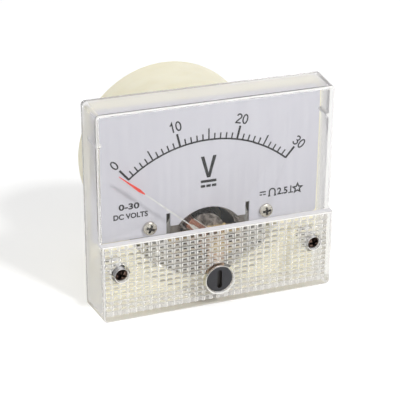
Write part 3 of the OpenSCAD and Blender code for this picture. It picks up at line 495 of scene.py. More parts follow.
class ShaderTree:
    """The nodes of a material or a world, with short calls to add and join them."""

    def __init__(self, owner: Any, ending: str = "OutputMaterial") -> None:
        """Starts with an output alone.

        Args:
            owner: The new material or world.
            ending: Kind of its output node.
        """
        self.owner = owner
        owner.use_nodes = True
        self.tree = owner.node_tree
        self.tree.nodes.clear()
        self.output = self.add(ending)

    def add(self, kind: str, values: dict[Any, Any] | None = None, **settings: Any) -> bpy.types.Node:
        """Adds a node.

        Args:
            kind: Blender's name for the node type, without the words that all of them start with.
            values: Inputs by name or number, as a plain value or as an output to join.
            settings: Properties of the node.

        Returns:
            The node.
        """
        node = self.tree.nodes.new("ShaderNode" + kind)
        for key, value in settings.items():
            setattr(node, key, value)
        for key, value in (values or {}).items():
            if isinstance(value, Socket):
                self.tree.links.new(value, node.inputs[key])
            else:
                node.inputs[key].default_value = value
        return node

    def out(
        self, kind: str, values: dict[Any, Any] | None = None, output: int | str = 0, **settings: Any
    ) -> Socket:
        """Adds a node as add does, and returns one of its outputs."""
        return self.add(kind, values, **settings).outputs[output]

    def coords(self) -> Socket:
        """Coordinates in the piece's own frame, in metres."""
        return self.out("TexCoord", output="Object")

    def noise(self, size: float, detail: float = 3.0, stretch: Triple = (1.0, 1.0, 1.0)) -> Socket:
        """A soft random pattern from 0 to 1.

        Args:
            size: Rough size of its patches.
            detail: How many finer layers it has.
            stretch: How much finer it is along each axis.

        Returns:
            The pattern.
        """
        stretched = self.out("Mapping", {"Vector": self.coords(), "Scale": stretch})
        return self.out("TexNoise", {"Vector": stretched, "Scale": 1.0 / (size * MM), "Detail": detail})

    def between(self, value: Socket, low: float, high: float, span: Pair = (0.0, 1.0)) -> Socket:
        """Maps a span of a value to a span of results, and holds it at their ends."""
        ends = {"From Min": span[0], "From Max": span[1], "To Min": low, "To Max": high}
        return self.out("MapRange", {"Value": value, **ends})

    def ramp(self, value: Socket, stops: Sequence[tuple[float, Triple]], way: str = "LINEAR") -> Socket:
        """Colours by a value.

        Args:
            value: From 0 to 1.
            stops: Pairs of value and colour, in rising order.
            way: How it goes from one to the next: LINEAR, or CONSTANT for hard steps.

        Returns:
            The colour.
        """
        node = self.add("ValToRGB", {"Fac": value})
        node.color_ramp.interpolation = way
        for at, _ in stops[1:-1]:
            node.color_ramp.elements.new(at)
        for stop, (at, colour) in zip(node.color_ramp.elements, stops):
            stop.position = at
            stop.color = (*colour, 1.0)
        return node.outputs[0]

    def blend(self, value: Socket, first: Triple, second: Triple, span: Pair = (0.35, 0.65)) -> Socket:
        """Blends two colours by a pattern."""
        return self.ramp(value, [(span[0], first), (span[1], second)])

    def bump(self, height: Socket, depth: float) -> Socket:
        """Turns a pattern from 0 to 1 into relief of a real depth."""
        return self.out("Bump", {"Height": height, "Distance": depth * MM, "Strength": 1.0})

    def mix(self, share: Socket, first: Socket, second: Triple) -> Socket:
        """Mixes a plain colour into another."""
        # the colour inputs of a Mix node share their names with the plain ones
        return self.out("Mix", {0: share, 6: first, 7: (*second, 1.0)}, 2, data_type="RGBA")

    def with_recess_shade(self, colour: Socket) -> Socket:
        """A colour, darkened by painted shade on the faces marked as lying in a recess."""
        return self.mix(self.out("Attribute", output="Fac", attribute_name=RECESS_SHADE), colour, RECESS_SHADE_COLOUR)

    def parts(self, vector: Socket) -> tuple[Socket, ...]:
        """The X, Y and Z of a vector."""
        return tuple(self.add("SeparateXYZ", {0: vector}).outputs)

    def math(self, operation: str, first: Socket, second: Socket | float = 0.0) -> Socket:
        """One step of arithmetic."""
        return self.out("Math", {0: first, 1: second}, operation=operation)

    def larger(self, first: Socket, second: Socket) -> Socket:
        """The larger of two values."""
        return self.math("MAXIMUM", first, second)

    def times(self, first: Socket, second: Socket) -> Socket:
        """Two values multiplied."""
        return self.math("MULTIPLY", first, second)

    def seen(self, unseen: float, seen: float) -> Socket:
        """A value that depends on what a ray is for.

        Args:
            unseen: The value for rays that only light the scene.
            seen: The value for rays that show it.

        Returns:
            The value.
        """
        rays = self.add("LightPath").outputs
        shows = self.larger(rays["Is Camera Ray"], rays["Is Glossy Ray"])
        return self.between(self.larger(shows, rays["Is Transmission Ray"]), unseen, seen)

    def finish(self, shader: Socket) -> Any:
        """Joins the shader to the output and returns the material or world."""
        self.tree.links.new(shader, self.output.inputs["Surface"])
        return self.owner


def linear(colour: Triple) -> Triple:
    """A display colour, 0 to 255 a channel, as linear light."""
    c = np.array(colour) / 255.0
    return tuple(np.where(c <= 0.04045, c / 12.92, ((c + 0.055) / 1.055) ** 2.4).tolist())


@dataclass(frozen=True)
class Finish:
    """What most finishes share. Colours are 0 to 255 a channel, as a display shows them."""

    name: str
    colour: Triple
    shade: Triple  # its second colour

    def start(self) -> ShaderTree:
        """Starts the material."""
        return ShaderTree(bpy.data.materials.new(self.name))


@dataclass(frozen=True)
class Plastic(Finish):
    """Moulded plastic. The second colour shows in faint patches."""

    rough: Pair = (0.32, 0.5)  # its least and greatest roughness
    grain: float = 0.35  # size of the moulded grain
    grain_depth: float = 0.006
    glow: float = 0.0  # how much light passes into the surface
    patch: float = 6.0  # size of the patches
    wear: float = 2.5  # size of the rougher places

    def build(self) -> Material:
        """Makes the material.

        Returns:
            The new material.
        """
        s = self.start()
        colour = s.blend(s.noise(self.patch), linear(self.colour), linear(self.shade))
        return s.finish(s.out("BsdfPrincipled", {
            # faces in a recess get painted shade
            "Base Color": s.with_recess_shade(colour),
            "Roughness": s.between(s.noise(self.wear), *self.rough, MOST),
            "Normal": s.bump(s.noise(self.grain, 4.0), self.grain_depth),
            "IOR": PLASTIC_IOR,
            "Subsurface Weight": self.glow,
            "Subsurface Radius": (1.0, 0.9, 0.7),
            "Subsurface Scale": 0.8 * MM,
        }))


@dataclass(frozen=True)
class Metal(Finish):
    """Bare or plated metal. The second colour shows in patches of tarnish."""

    rough: Pair = (0.18, 0.38)  # its least and greatest roughness
    streak: Triple = (1.0, 1.0, 1.0)  # how much finer the tool marks are along each axis
    mark: float = 0.25  # size of the tool marks
    mark_depth: float = 0.004
    tarnish: Pair = (0.5, 0.8)  # where the patches start and end in their pattern
    patch: float = 1.1  # size of the patches

    def build(self) -> Material:
        """Makes the material.

        Returns:
            The new material.
        """
        s = self.start()
        marks = s.noise(self.mark, 5.0, self.streak)
        colour = s.blend(s.noise(self.patch, 5.0), linear(self.colour), linear(self.shade), self.tarnish)
        return s.finish(s.out("BsdfPrincipled", {
            # faces in a recess get painted shade
            "Base Color": s.with_recess_shade(colour),
            "Metallic": 1.0,
            "Roughness": s.between(marks, *self.rough, MOST),
            "Normal": s.bump(marks, self.mark_depth),
        }))


@dataclass(frozen=True)
class DialPaint(Finish):
    """Pale matt paint on brushed sheet, with upright streaks of the second colour."""

    speck: Triple  # colour of a few specks
    speck_gap: float = 7.5  # rough distance between them
    speck_r: Pair = (0.006, 0.02)  # where a speck starts to fade and ends, as shares of that
    streak: float = 1.2  # width of the streaks

    def build(self) -> Material:
        """Makes the material.

        Returns:
            The new material.
        """
        s = self.start()
        streaks = s.noise(self.streak, stretch=(1.0, 1.0, 0.08))
        paint = s.blend(streaks, linear(self.colour), linear(self.shade), (0.3, 0.75))
        scale = 1.0 / (self.speck_gap * MM)
        cells = s.out("TexVoronoi", {"Vector": s.coords(), "Scale": scale}, feature="F1")
        specks = s.between(cells, 0.5, 0.0, self.speck_r)
        return s.finish(s.out("BsdfPrincipled", {
            "Base Color": s.mix(specks, paint, linear(self.speck)),
            "Roughness": s.between(streaks, 0.5, 0.62, MOST),
            "Normal": s.bump(s.noise(0.15), 0.004),
        }))


@dataclass(frozen=True)
class Winding(Finish):
    """Enamelled copper wire in fine turns. The second colour shows between them."""

    pitch: float = 0.12  # distance between turns

    def build(self) -> Material:
        """Makes the material.

        Returns:
            The new material.
        """
        s = self.start()
        # a wave texture of scale 1 has a ridge each 0.314
        turns = s.out(
            "TexWave", {"Vector": s.coords(), "Scale": 0.314 / (self.pitch * MM), "Distortion": 0.6}, "Fac",
            bands_direction="DIAGONAL",
        )
        return s.finish(s.out("BsdfPrincipled", {
            "Base Color": s.blend(turns, linear(self.shade), linear(self.colour), (0.1, 0.6)),
            "Metallic": 0.7,
            "Roughness": s.between(turns, 0.45, 0.25),
            "Normal": s.bump(turns, 0.03),
        }))


@dataclass(frozen=True)
class Banded(Finish):
    """Lacquer with coloured rings across X, for the resistor. The second colour is a ring's."""

    at: float  # place of the ring of that colour
    rings: tuple[tuple[float, Triple], ...]  # place and colour of the rings after it
    ring_w: float = 0.7

    def build(self) -> Material:
        """Makes the material.

        Returns:
            The new material.
        """
        s = self.start()
        rings = [(self.at, self.shade), *self.rings]
        low, high = rings[0][0] - 3 * self.ring_w, rings[-1][0] + 3 * self.ring_w
        lacquer = linear(self.colour)
        stops = [(0.0, lacquer)]
        for middle, colour in rings:
            start, end = middle - self.ring_w / 2, middle + self.ring_w / 2
            stops += [((start - low) / (high - low), linear(colour)), ((end - low) / (high - low), lacquer)]
        along = s.between(s.parts(s.coords())[0], 0.0, 1.0, (low * MM, high * MM))
        return s.finish(s.out("BsdfPrincipled", {
            "Base Color": s.ramp(along, [*stops, (1.0, lacquer)], "CONSTANT"),
            "Roughness": s.between(s.noise(0.8), 0.3, 0.45, MOST),
            "Normal": s.bump(s.noise(0.4), 0.01),
        }))


@dataclass(frozen=True)
class ClearPlastic:
    """Clear acrylic that lets lamps shine through. Its colours are linear light.

    Faces to the front are polished. Side faces and the ledge get a faint grey
    haze, partly the plastic's own cloudiness and partly painted light. Round
    edges and the prisms' slopes that act as mirrors get a white painted
    reflection of the bright surroundings, and the prisms' lower slopes and
    the faces near the foot get painted shade, the colour of the shaded
    inside seen through them.
    """

    name: str
    colour: Triple  # tint of what passes through its polished faces
    side_colour: Triple  # tint of what passes through its side faces
    rough: Pair = (0.01, 0.04)  # its least and greatest roughness
    shine: float = 0.5  # how bright its reflections are
    side_bloom: float = 0.26  # share of haze on side faces, partly the plastic's cloudiness and partly painted light
    mirror_reflection_share: float = 0.86  # share of painted reflection on round edges and on the prisms' slopes that act as mirrors
    lower_slope_shade_share: float = 0.58  # share of painted shade on the prisms' lower slopes, which light leaves by
    ledge_bloom: float = 0.8  # share of haze on the ledge below the dial, partly the plastic's cloudiness and partly painted light
    painted_reflection_colour: Triple = (0.97, 0.955, 0.93)  # painted reflection on round edges and the slopes that act as mirrors
    haze_colour: Triple = (0.81, 0.8, 0.82)  # on side faces and the ledge
    painted_shade_colour: Triple = (0.66, 0.63, 0.55)  # painted shade on the prisms' lower slopes and round the foot
    prism_y: Pair = (-11.0, -10.3)  # stations between which the prisms' slopes lie
    foot_z: Pair = (-27.2, -26.0)  # heights between which painted shade takes over from the haze, near the foot
    dial_z: Pair = (-2.0, 0.0)  # heights above which a face that looks up is no ledge
    side_end: Pair = (0.3, 0.45)  # how squarely a face looks to the front where sides turn to slopes
    slope_end: Pair = (0.9, 0.985)  # the same where slopes turn to polished faces
    tint_end: Pair = (0.6, 0.95)  # the same where one tint turns to the other
    mirror_end: Pair = (-0.3, -0.1)  # the normal's y times z where mirrors turn to lower slopes
    up_end: Pair = (0.9, 0.99)  # the normal's z where a face starts to look up
    white_layer_passes: float = 0.12  # share of the white layer's light that comes through from behind
    lamps_pass: float = 0.985  # share of the lamps' light that passes through

    def haze_and_painted_light(self, s: ShaderTree) -> tuple[Socket, Socket, Socket]:
        """Works out the haze, painted reflection and painted shade of a face from where it lies and looks
        to.

        Args:
            s: The material's nodes.

        Returns:
            How squarely the face looks to the front or the rear, how much
            of the white layer it has, and that layer's colour, which runs
            from painted shade through grey haze to painted reflection.
        """
        _, y, z = s.parts(s.out("TexCoord", output="Normal"))
        _, deep, height = s.parts(s.coords())
        facing = s.math("ABSOLUTE", y)
        sides = s.between(facing, 1.0, 0.0, self.side_end)
        off_sides = s.between(facing, 0.0, 1.0, self.side_end)
        slopes = s.times(off_sides, s.between(facing, 1.0, 0.0, self.slope_end))
        # y z keeps its sign for rays that meet the face from inside
        mirror = s.between(s.times(y, z), 0.0, 1.0, self.mirror_end)
        front, back = ((at * MM, (at + 0.01) * MM) for at in self.prism_y)
        elsewhere = s.larger(s.between(deep, 1.0, 0.0, front), s.between(deep, 0.0, 1.0, back))
        whole = s.larger(mirror, elsewhere)
        # the slopes that act as mirrors and the round edges get a painted reflection, the lower slopes
        # painted shade
        on_slopes = s.times(slopes, s.between(whole, self.lower_slope_shade_share, self.mirror_reflection_share))
        amount = s.larger(s.between(sides, 0.0, self.side_bloom), on_slopes)
        dial_z, foot_z = ((low * MM, high * MM) for low, high in (self.dial_z, self.foot_z))
        looks_up = s.between(z, 0.0, 1.0, self.up_end)
        ledge = s.between(s.times(looks_up, s.between(height, 1.0, 0.0, dial_z)), 0.0, self.ledge_bloom)
        # the colour runs from painted shade near the foot and on the lower slopes, through grey haze on
        # sides and ledge, to painted reflection on mirrors and round edges
        shade = s.math("ADD", s.times(sides, s.between(height, 0.0, 0.5, foot_z)), s.times(slopes, whole))
        stops = [(0.0, self.painted_shade_colour), (0.5, self.haze_colour), (1.0, self.painted_reflection_colour)]
        return facing, s.larger(amount, ledge), s.ramp(shade, stops)

    def build(self) -> Material:
        """Makes the material.

        Returns:
            The new material.
        """
        s = ShaderTree(bpy.data.materials.new(self.name))
        facing, amount, colour = self.haze_and_painted_light(s)
        glass = s.out("BsdfPrincipled", {
            "Base Color": s.blend(facing, self.side_colour, self.colour, self.tint_end),
            "Roughness": s.between(s.noise(3.0), *self.rough, MOST),
            "IOR": PLASTIC_IOR,
            "Specular Tint": (self.shine, self.shine, self.shine, 1.0),
            "Transmission Weight": 1.0,
            "Normal": s.bump(s.noise(9.0, 2.0), 0.01),
        })
        front, rear = (s.out(f"Bsdf{way}", {"Color": colour}) for way in ("Diffuse", "Translucent"))
        white = s.out("MixShader", {0: self.white_layer_passes, 1: front, 2: rear})
        glass_and_paint = s.out("MixShader", {0: amount, 1: glass, 2: white})
        rays = s.add("LightPath").outputs
        lights = s.larger(rays["Is Shadow Ray"], rays["Is Diffuse Ray"])
        through = s.out("BsdfTransparent", {"Color": (*[self.lamps_pass] * 3, 1.0)})
        return s.finish(s.out("MixShader", {0: lights, 1: glass_and_paint, 2: through}))


def make_materials() -> Materials:
    """Makes one material for each finish that the record names.

    Returns:
        The materials by the name of their slot.
    """
    finishes = {
        "clear_cover": ClearPlastic("clear acrylic", (0.968, 0.968, 0.955), (0.875, 0.87, 0.855)),
        "housing": Plastic("ivory plastic", (249, 243, 217), (245, 238, 209), glow=0.15),
        "cover_screw": Metal(
            "brown passivated steel", (118, 98, 88), (30, 22, 20), (0.12, 0.34), tarnish=(0.4, 0.54)
        ),
        "dial": DialPaint("pale grey dial paint", (210, 209, 217), (204, 203, 212), (150, 140, 122)),
        "ink": Plastic("black ink", (16, 16, 20), (24, 24, 28), (0.5, 0.7), 0.2, 0.003),
        "nickel": Metal("nickel plate", (205, 201, 192), (150, 142, 130), (0.14, 0.34)),
        "frame_alloy": Metal(
            "die-cast alloy", (150, 149, 146), (110, 108, 104), (0.35, 0.55), mark_depth=0.01
        ),
        "iron": Metal("dark iron", (128, 122, 116), (88, 82, 76), (0.35, 0.6), mark_depth=0.01),
        "magnet": Metal(
            "ground magnet alloy", (150, 143, 138), (84, 78, 74), (0.2, 0.5), (1.0, 1.0, 3.0), 0.5, 0.02,
            (0.42, 0.62),
        ),
        "brass": Metal("turned brass", (196, 176, 134), (146, 124, 88), (0.2, 0.4)),
        "bronze": Metal("bronze strip", (204, 174, 150), (150, 118, 96), (0.25, 0.45)),
        "tinned": Metal("tinned brass", (200, 198, 190), (160, 156, 146), (0.3, 0.5)),
        "resistor": Banded(
            "banded lacquer", (200, 182, 146), (180, 60, 30), -6.2,
            ((-4.6, (60, 40, 30)), (-3.0, (220, 190, 60))),
        ),
        "red_wire": Plastic("red insulation", (178, 40, 34), (150, 30, 26)),
        "blue_wire": Plastic("blue insulation", (44, 66, 140), (34, 52, 116)),
        "green_wire": Plastic("green insulation", (46, 122, 74), (36, 98, 60)),
        "dark_plastic": Plastic("dark grey plastic", (48, 48, 52), (40, 40, 44), (0.38, 0.5)),
        "aluminium": Metal("bright aluminium", (222, 222, 220), (190, 190, 188), (0.25, 0.42)),
        "copper_winding": Winding("copper winding", (182, 128, 106), (84, 54, 46)),
        "steel": Metal("polished steel", (170, 170, 172), (130, 130, 132), (0.1, 0.25)),
        "red_tip": Plastic("red paint", (238, 74, 60), (224, 60, 48), (0.35, 0.5)),
    }
    LOG.info("materials: %d", len(finishes))
    return {slot: finish.build() for slot, finish in finishes.items()}


# ---- Clear cover ---------------------------------------------------------


BEYOND = 1.0  # how far a cutter reaches past the surface that it cuts


@dataclass
class PrismField:
    """Blunt pyramids moulded behind the lens, in columns and rows."""

    pitch_x: float = 2.045  # width of a pyramid with its cut
    pitch_z: float = 1.47  # height of a pyramid with its cut
    depth: float = 0.45  # depth of the cuts
    floor: float = 0.15  # width of a cut's flat bottom
    first_row: float = -8.48  # height of the uppermost cut across
    columns: int = 14  # number of upright cuts on each side of the middle one
    rows: int = 12  # number of cuts across

    def stations(self, centres: np.ndarray, low: float, high: float) -> tuple[np.ndarray, np.ndarray]:
        """Places where the surface bends along one axis, with the depth there.

        Args:
            centres: Middle of each cut, in rising order.
            low: Lower end of the field.
            high: Upper end of the field.

        Returns:
            The places and the depths.
        """
        half = self.floor / 2
        offsets = np.array([-half - self.depth, -half, half, half + self.depth])
        places = (centres[:, None] + offsets).ravel()
        depths = np.tile([0.0, self.depth, self.depth, 0.0], len(centres))
        return np.concatenate([[low], places, [high]]), np.concatenate([[0.0], depths, [0.0]])

    def cavity(self, half_w: float, z: Pair, y: Pair, draft: float) -> Solid:
        """The hollow behind the lens, with the pyramids' shape on its front.

        The front is a height field: the depth at a point is the greater of
        the depth of its column's cut and of its row's cut, so cuts cross as
        V-shaped cuts do, and each cell is split along its own fold.

        Args:
            half_w: Half the width of the hollow at its front.
            z: Its lower and upper end there.
            y: Stations of the pyramids' tops and of the hollow's open end.
            draft: How far the sides and the lower end spread on the way back.

        Returns:
            The hollow as a closed solid.
        """
        xs, dx = self.stations(self.pitch_x * np.arange(-self.columns, self.columns + 1), -half_w, half_w)
        rows = self.first_row - self.pitch_z * np.arange(self.rows)
        zs, dz = self.stations(rows[::-1], *z)
        depth = np.maximum(dx[:, None], dz)
        points = grid(xs[:, None], y[0] - depth, zs).reshape(-1, 3)
        index = np.arange(depth.size).reshape(depth.shape)
        a, b, c, d = index[:-1, :-1], index[1:, :-1], index[1:, 1:], index[:-1, 1:]
        crossed = np.outer(np.sign(np.diff(dx)), np.sign(np.diff(dz))) < 0
        faces = []
        for corners, chosen in (
            ((a, b, c), ~crossed), ((a, c, d), ~crossed), ((a, b, d), crossed), ((b, c, d), crossed)
        ):
            faces += np.stack([corner[chosen] for corner in corners], 1).tolist()
        rim = np.concatenate([index[:, 0], index[-1, 1:], index[-2::-1, -1], index[0, -2:0:-1]])
        back = points[rim]
        back[:, 0] *= (half_w + draft) / half_w
        back[:, 1] = y[1]
        back[back[:, 2] <= z[0] + 1e-6, 2] = z[0] - draft
        ring = np.arange(len(rim)) + depth.size
        faces += np.stack([rim, ring, np.roll(ring, -1), np.roll(rim, -1)], 1).tolist()
        faces.append(ring.tolist())
        return Solid(np.concatenate([points, back]), faces)


@dataclass(frozen=True)
class Recess:
    """A stepped hole from the lens's front, with a chamfer round its mouth."""

    mouth_r: float
    lip: float  # width of the chamfer
    seat_y: float  # station of the step
    bore_r: float
    end_y: float

    def cutter(self, front_y: float, x: float, z: float) -> Solid:
        """What is cut away for it at a place, from the lens's front on."""
        rim = self.mouth_r + self.lip
        return lathe([
            (rim + BEYOND, front_y - BEYOND), (rim, front_y), (self.mouth_r, front_y + self.lip),
            (self.mouth_r, self.seat_y), (self.bore_r, self.seat_y), (self.bore_r, self.end_y),
        ]).moved(x, z)


@dataclass
class ClearCover:
    """The moulded clear front: walls, window, lens block, posts and recesses."""

    face_w: float = 64.0  # width at the panel
    face_h: float = 56.0  # height at the panel
    draft: float = 0.62  # how far each side leans in over the window's depth
    window_y: float = -10.3  # station of the window's front
    window_in_y: float = -8.5  # station of the window's back
    lens_y: float = -12.6  # station of the lens block's front
    lens_in_y: float = -10.3  # station of the lens block's back
    hollow_y: float = -8.0  # station where the hollow behind the lens ends
    ledge_z: float = -6.2  # height of the ledge on top of the lens block
    ledge_wall: float = 1.0
    wall: float = 1.2
    corner_r: float = 1.05  # radius of the upright corners
    least_corner_r: float = 0.3
    edge_r: float = 0.5  # radius of the front edges
    post_r: float = 2.45  # radius of the screw posts
    post_end_y: float = -5.0
    boss_r: float = 4.4  # radius of the boss round the adjuster
    boss_end_y: float = -9.7
    rib_r: float = 0.6  # radius of the ribs beside the dial
    rib_z: float = 19.3
    rib_y: Pair = (-9.4, -3.1)
    screw_recess: Recess = Recess(mouth_r=1.8, lip=0.14, seat_y=-9.4, bore_r=1.1, end_y=-4.0)
    adjuster_recess: Recess = Recess(mouth_r=3.72, lip=0.28, seat_y=-10.8, bore_r=2.05, end_y=-8.7)
    prisms: PrismField = field(default_factory=PrismField)

    def lean(self, y: Any) -> Any:
        """How far the sides lean in at a station."""
        return self.draft * y / self.window_y

    def shell(self, y: Pair, inset: float, corner_r: float, edge_r: float) -> Solid:
        """A box whose sides lean in, with round corners and a round front edge.

        Args:
            y: Stations of its front and back.
            inset: How far it lies inside the cover's outside.
            corner_r: Radius of its upright corners.
            edge_r: Radius of its front edge, or 0.

        Returns:
            The box.
        """
        bend = np.linspace(0.0, math.pi / 2, 6 if edge_r else 1)
        stations = np.concatenate([[y[1]], y[0] + edge_r * (1 - np.sin(bend))])[:, None]
        pull = np.concatenate([[0.0], edge_r * (1 - np.cos(bend))])[:, None]
        step = inset + pull + self.lean(stations)
        radius = np.maximum(corner_r - pull, self.least_corner_r)
        quarter = np.linspace(0.0, math.pi / 2, 8)
        turn = np.concatenate([quarter + k * math.pi / 2 for k in range(4)])
        side_x, side_z = np.repeat([[1.0, -1.0, -1.0, 1.0], [1.0, 1.0, -1.0, -1.0]], len(quarter), 1)
        x = side_x * (self.face_w / 2 - step - radius) + radius * np.cos(turn)
        z = side_z * (self.face_h / 2 - step - radius) + radius * np.sin(turn)
        return loft(grid(x, stations, z))

    def ledge_cutter(self) -> Solid:
        """What is cut away above the ledge, with a round edge at its front.

        Returns:
            The cutter.
        """
        bend = np.linspace(0.0, math.pi / 2, 6)
        y = self.lens_y + self.edge_r * (1 - np.cos(bend))
        z = self.ledge_z - self.edge_r * (1 - np.sin(bend))
        far, inner = self.lens_y - 2 * BEYOND, self.window_y + BEYOND
        ys = np.concatenate([[far], y, [inner, inner, far]])
        zs = np.concatenate([z[:1], z, [self.ledge_z, self.face_h, self.face_h]])
        return loft(grid(np.array([[-self.face_w], [self.face_w]]), ys, zs))

    def hollow(self) -> Solid:
        """The hollow behind the lens block, with the prisms on its front."""
        inset = self.wall + self.lean(self.lens_in_y)
        return self.prisms.cavity(
            self.face_w / 2 - inset, (inset - self.face_h / 2, self.ledge_z - self.ledge_wall),
            (self.lens_in_y, self.hollow_y), self.lean(self.lens_in_y) - self.lean(self.hollow_y),
        )

    def build(self, materials: Materials) -> None:
        """Makes the cover as one closed piece.

        Args:
            materials: The materials by slot.
        """
        posts = [node_middle(f"cover_screw_{side}")[[0, 2]] for side in ("left", "right")]
        button_x, clip_z = node_middle("zero_adjuster")[0], node_middle("adjuster_clip")[2]
        # posts and boss start midway between the lens's front and the bottoms of its cuts
        root_y = (self.lens_y + self.lens_in_y - self.prisms.depth) / 2
        post = lathe([(self.post_r, root_y), (self.post_r, self.post_end_y)])
        boss = lathe([(self.boss_r, root_y), (self.boss_r, self.boss_end_y)])
        rib = lathe([(self.rib_r, y) for y in self.rib_y], 24)
        rib_x = self.face_w / 2 - self.wall - self.lean(self.window_in_y)
        lens, window = (
            self.shell((front_y, 0.0), 0.0, self.corner_r, self.edge_r)
            for front_y in (self.lens_y, self.window_y)
        )
        inside = self.shell((self.window_in_y, BEYOND), self.wall, self.corner_r - self.wall / 2, 0.0)
        cover = make_object("clear_cover", lens)
        steps = [
            (Joining.CUT, self.ledge_cutter()),
            (Joining.ADD, window),
            (Joining.CUT, inside),
            (Joining.CUT, self.hollow()),
            *((Joining.ADD, post.moved(*place_at)) for place_at in posts),
            (Joining.ADD, boss.moved(0.0, clip_z)),
            *((Joining.ADD, rib.moved(side * rib_x, self.rib_z)) for side in (-1, 1)),
            *((Joining.CUT, self.screw_recess.cutter(self.lens_y, *place_at)) for place_at in posts),
            (Joining.CUT, self.adjuster_recess.cutter(self.lens_y, button_x, clip_z)),
        ]
        for how, solid in steps:
            combine(cover, solid, how)
        stand_in(cover, "front_cover", materials)


# ---- Printed dial --------------------------------------------------------


def lettering(text: str, height: float, width: float, y: Pair) -> Solid:
    """Plain lettering of a given size, with its middle at the origin.

    Args:
        text: The characters.
        height: Height of the lettering as printed.
        width: Width of all of it as printed.
        y: Stations of its front and back.

    Returns:
        The letters as closed solids.
    """
    curve = bpy.data.curves.new("lettering", "FONT")
    curve.body = text
    curve.extrude = 0.5
    curve.offset = 0.028
    curve.resolution_u = 4
    helper = linked("lettering", curve)
    mesh = result_of(helper)
    points = np.empty(len(mesh.vertices) * 3)
    mesh.vertices.foreach_get("co", points)
    faces = [list(f.vertices) for f in mesh.polygons]
    bpy.data.batch_remove((helper, curve, mesh))
    points = points.reshape(-1, 3)
    low, high = points.min(0), points.max(0)
    across, up, deep = ((points - (low + high) / 2) / (high - low)).T
    return Solid(grid(across * width, (y[0] + y[1]) / 2 - deep * (y[1] - y[0]), up * height), faces)


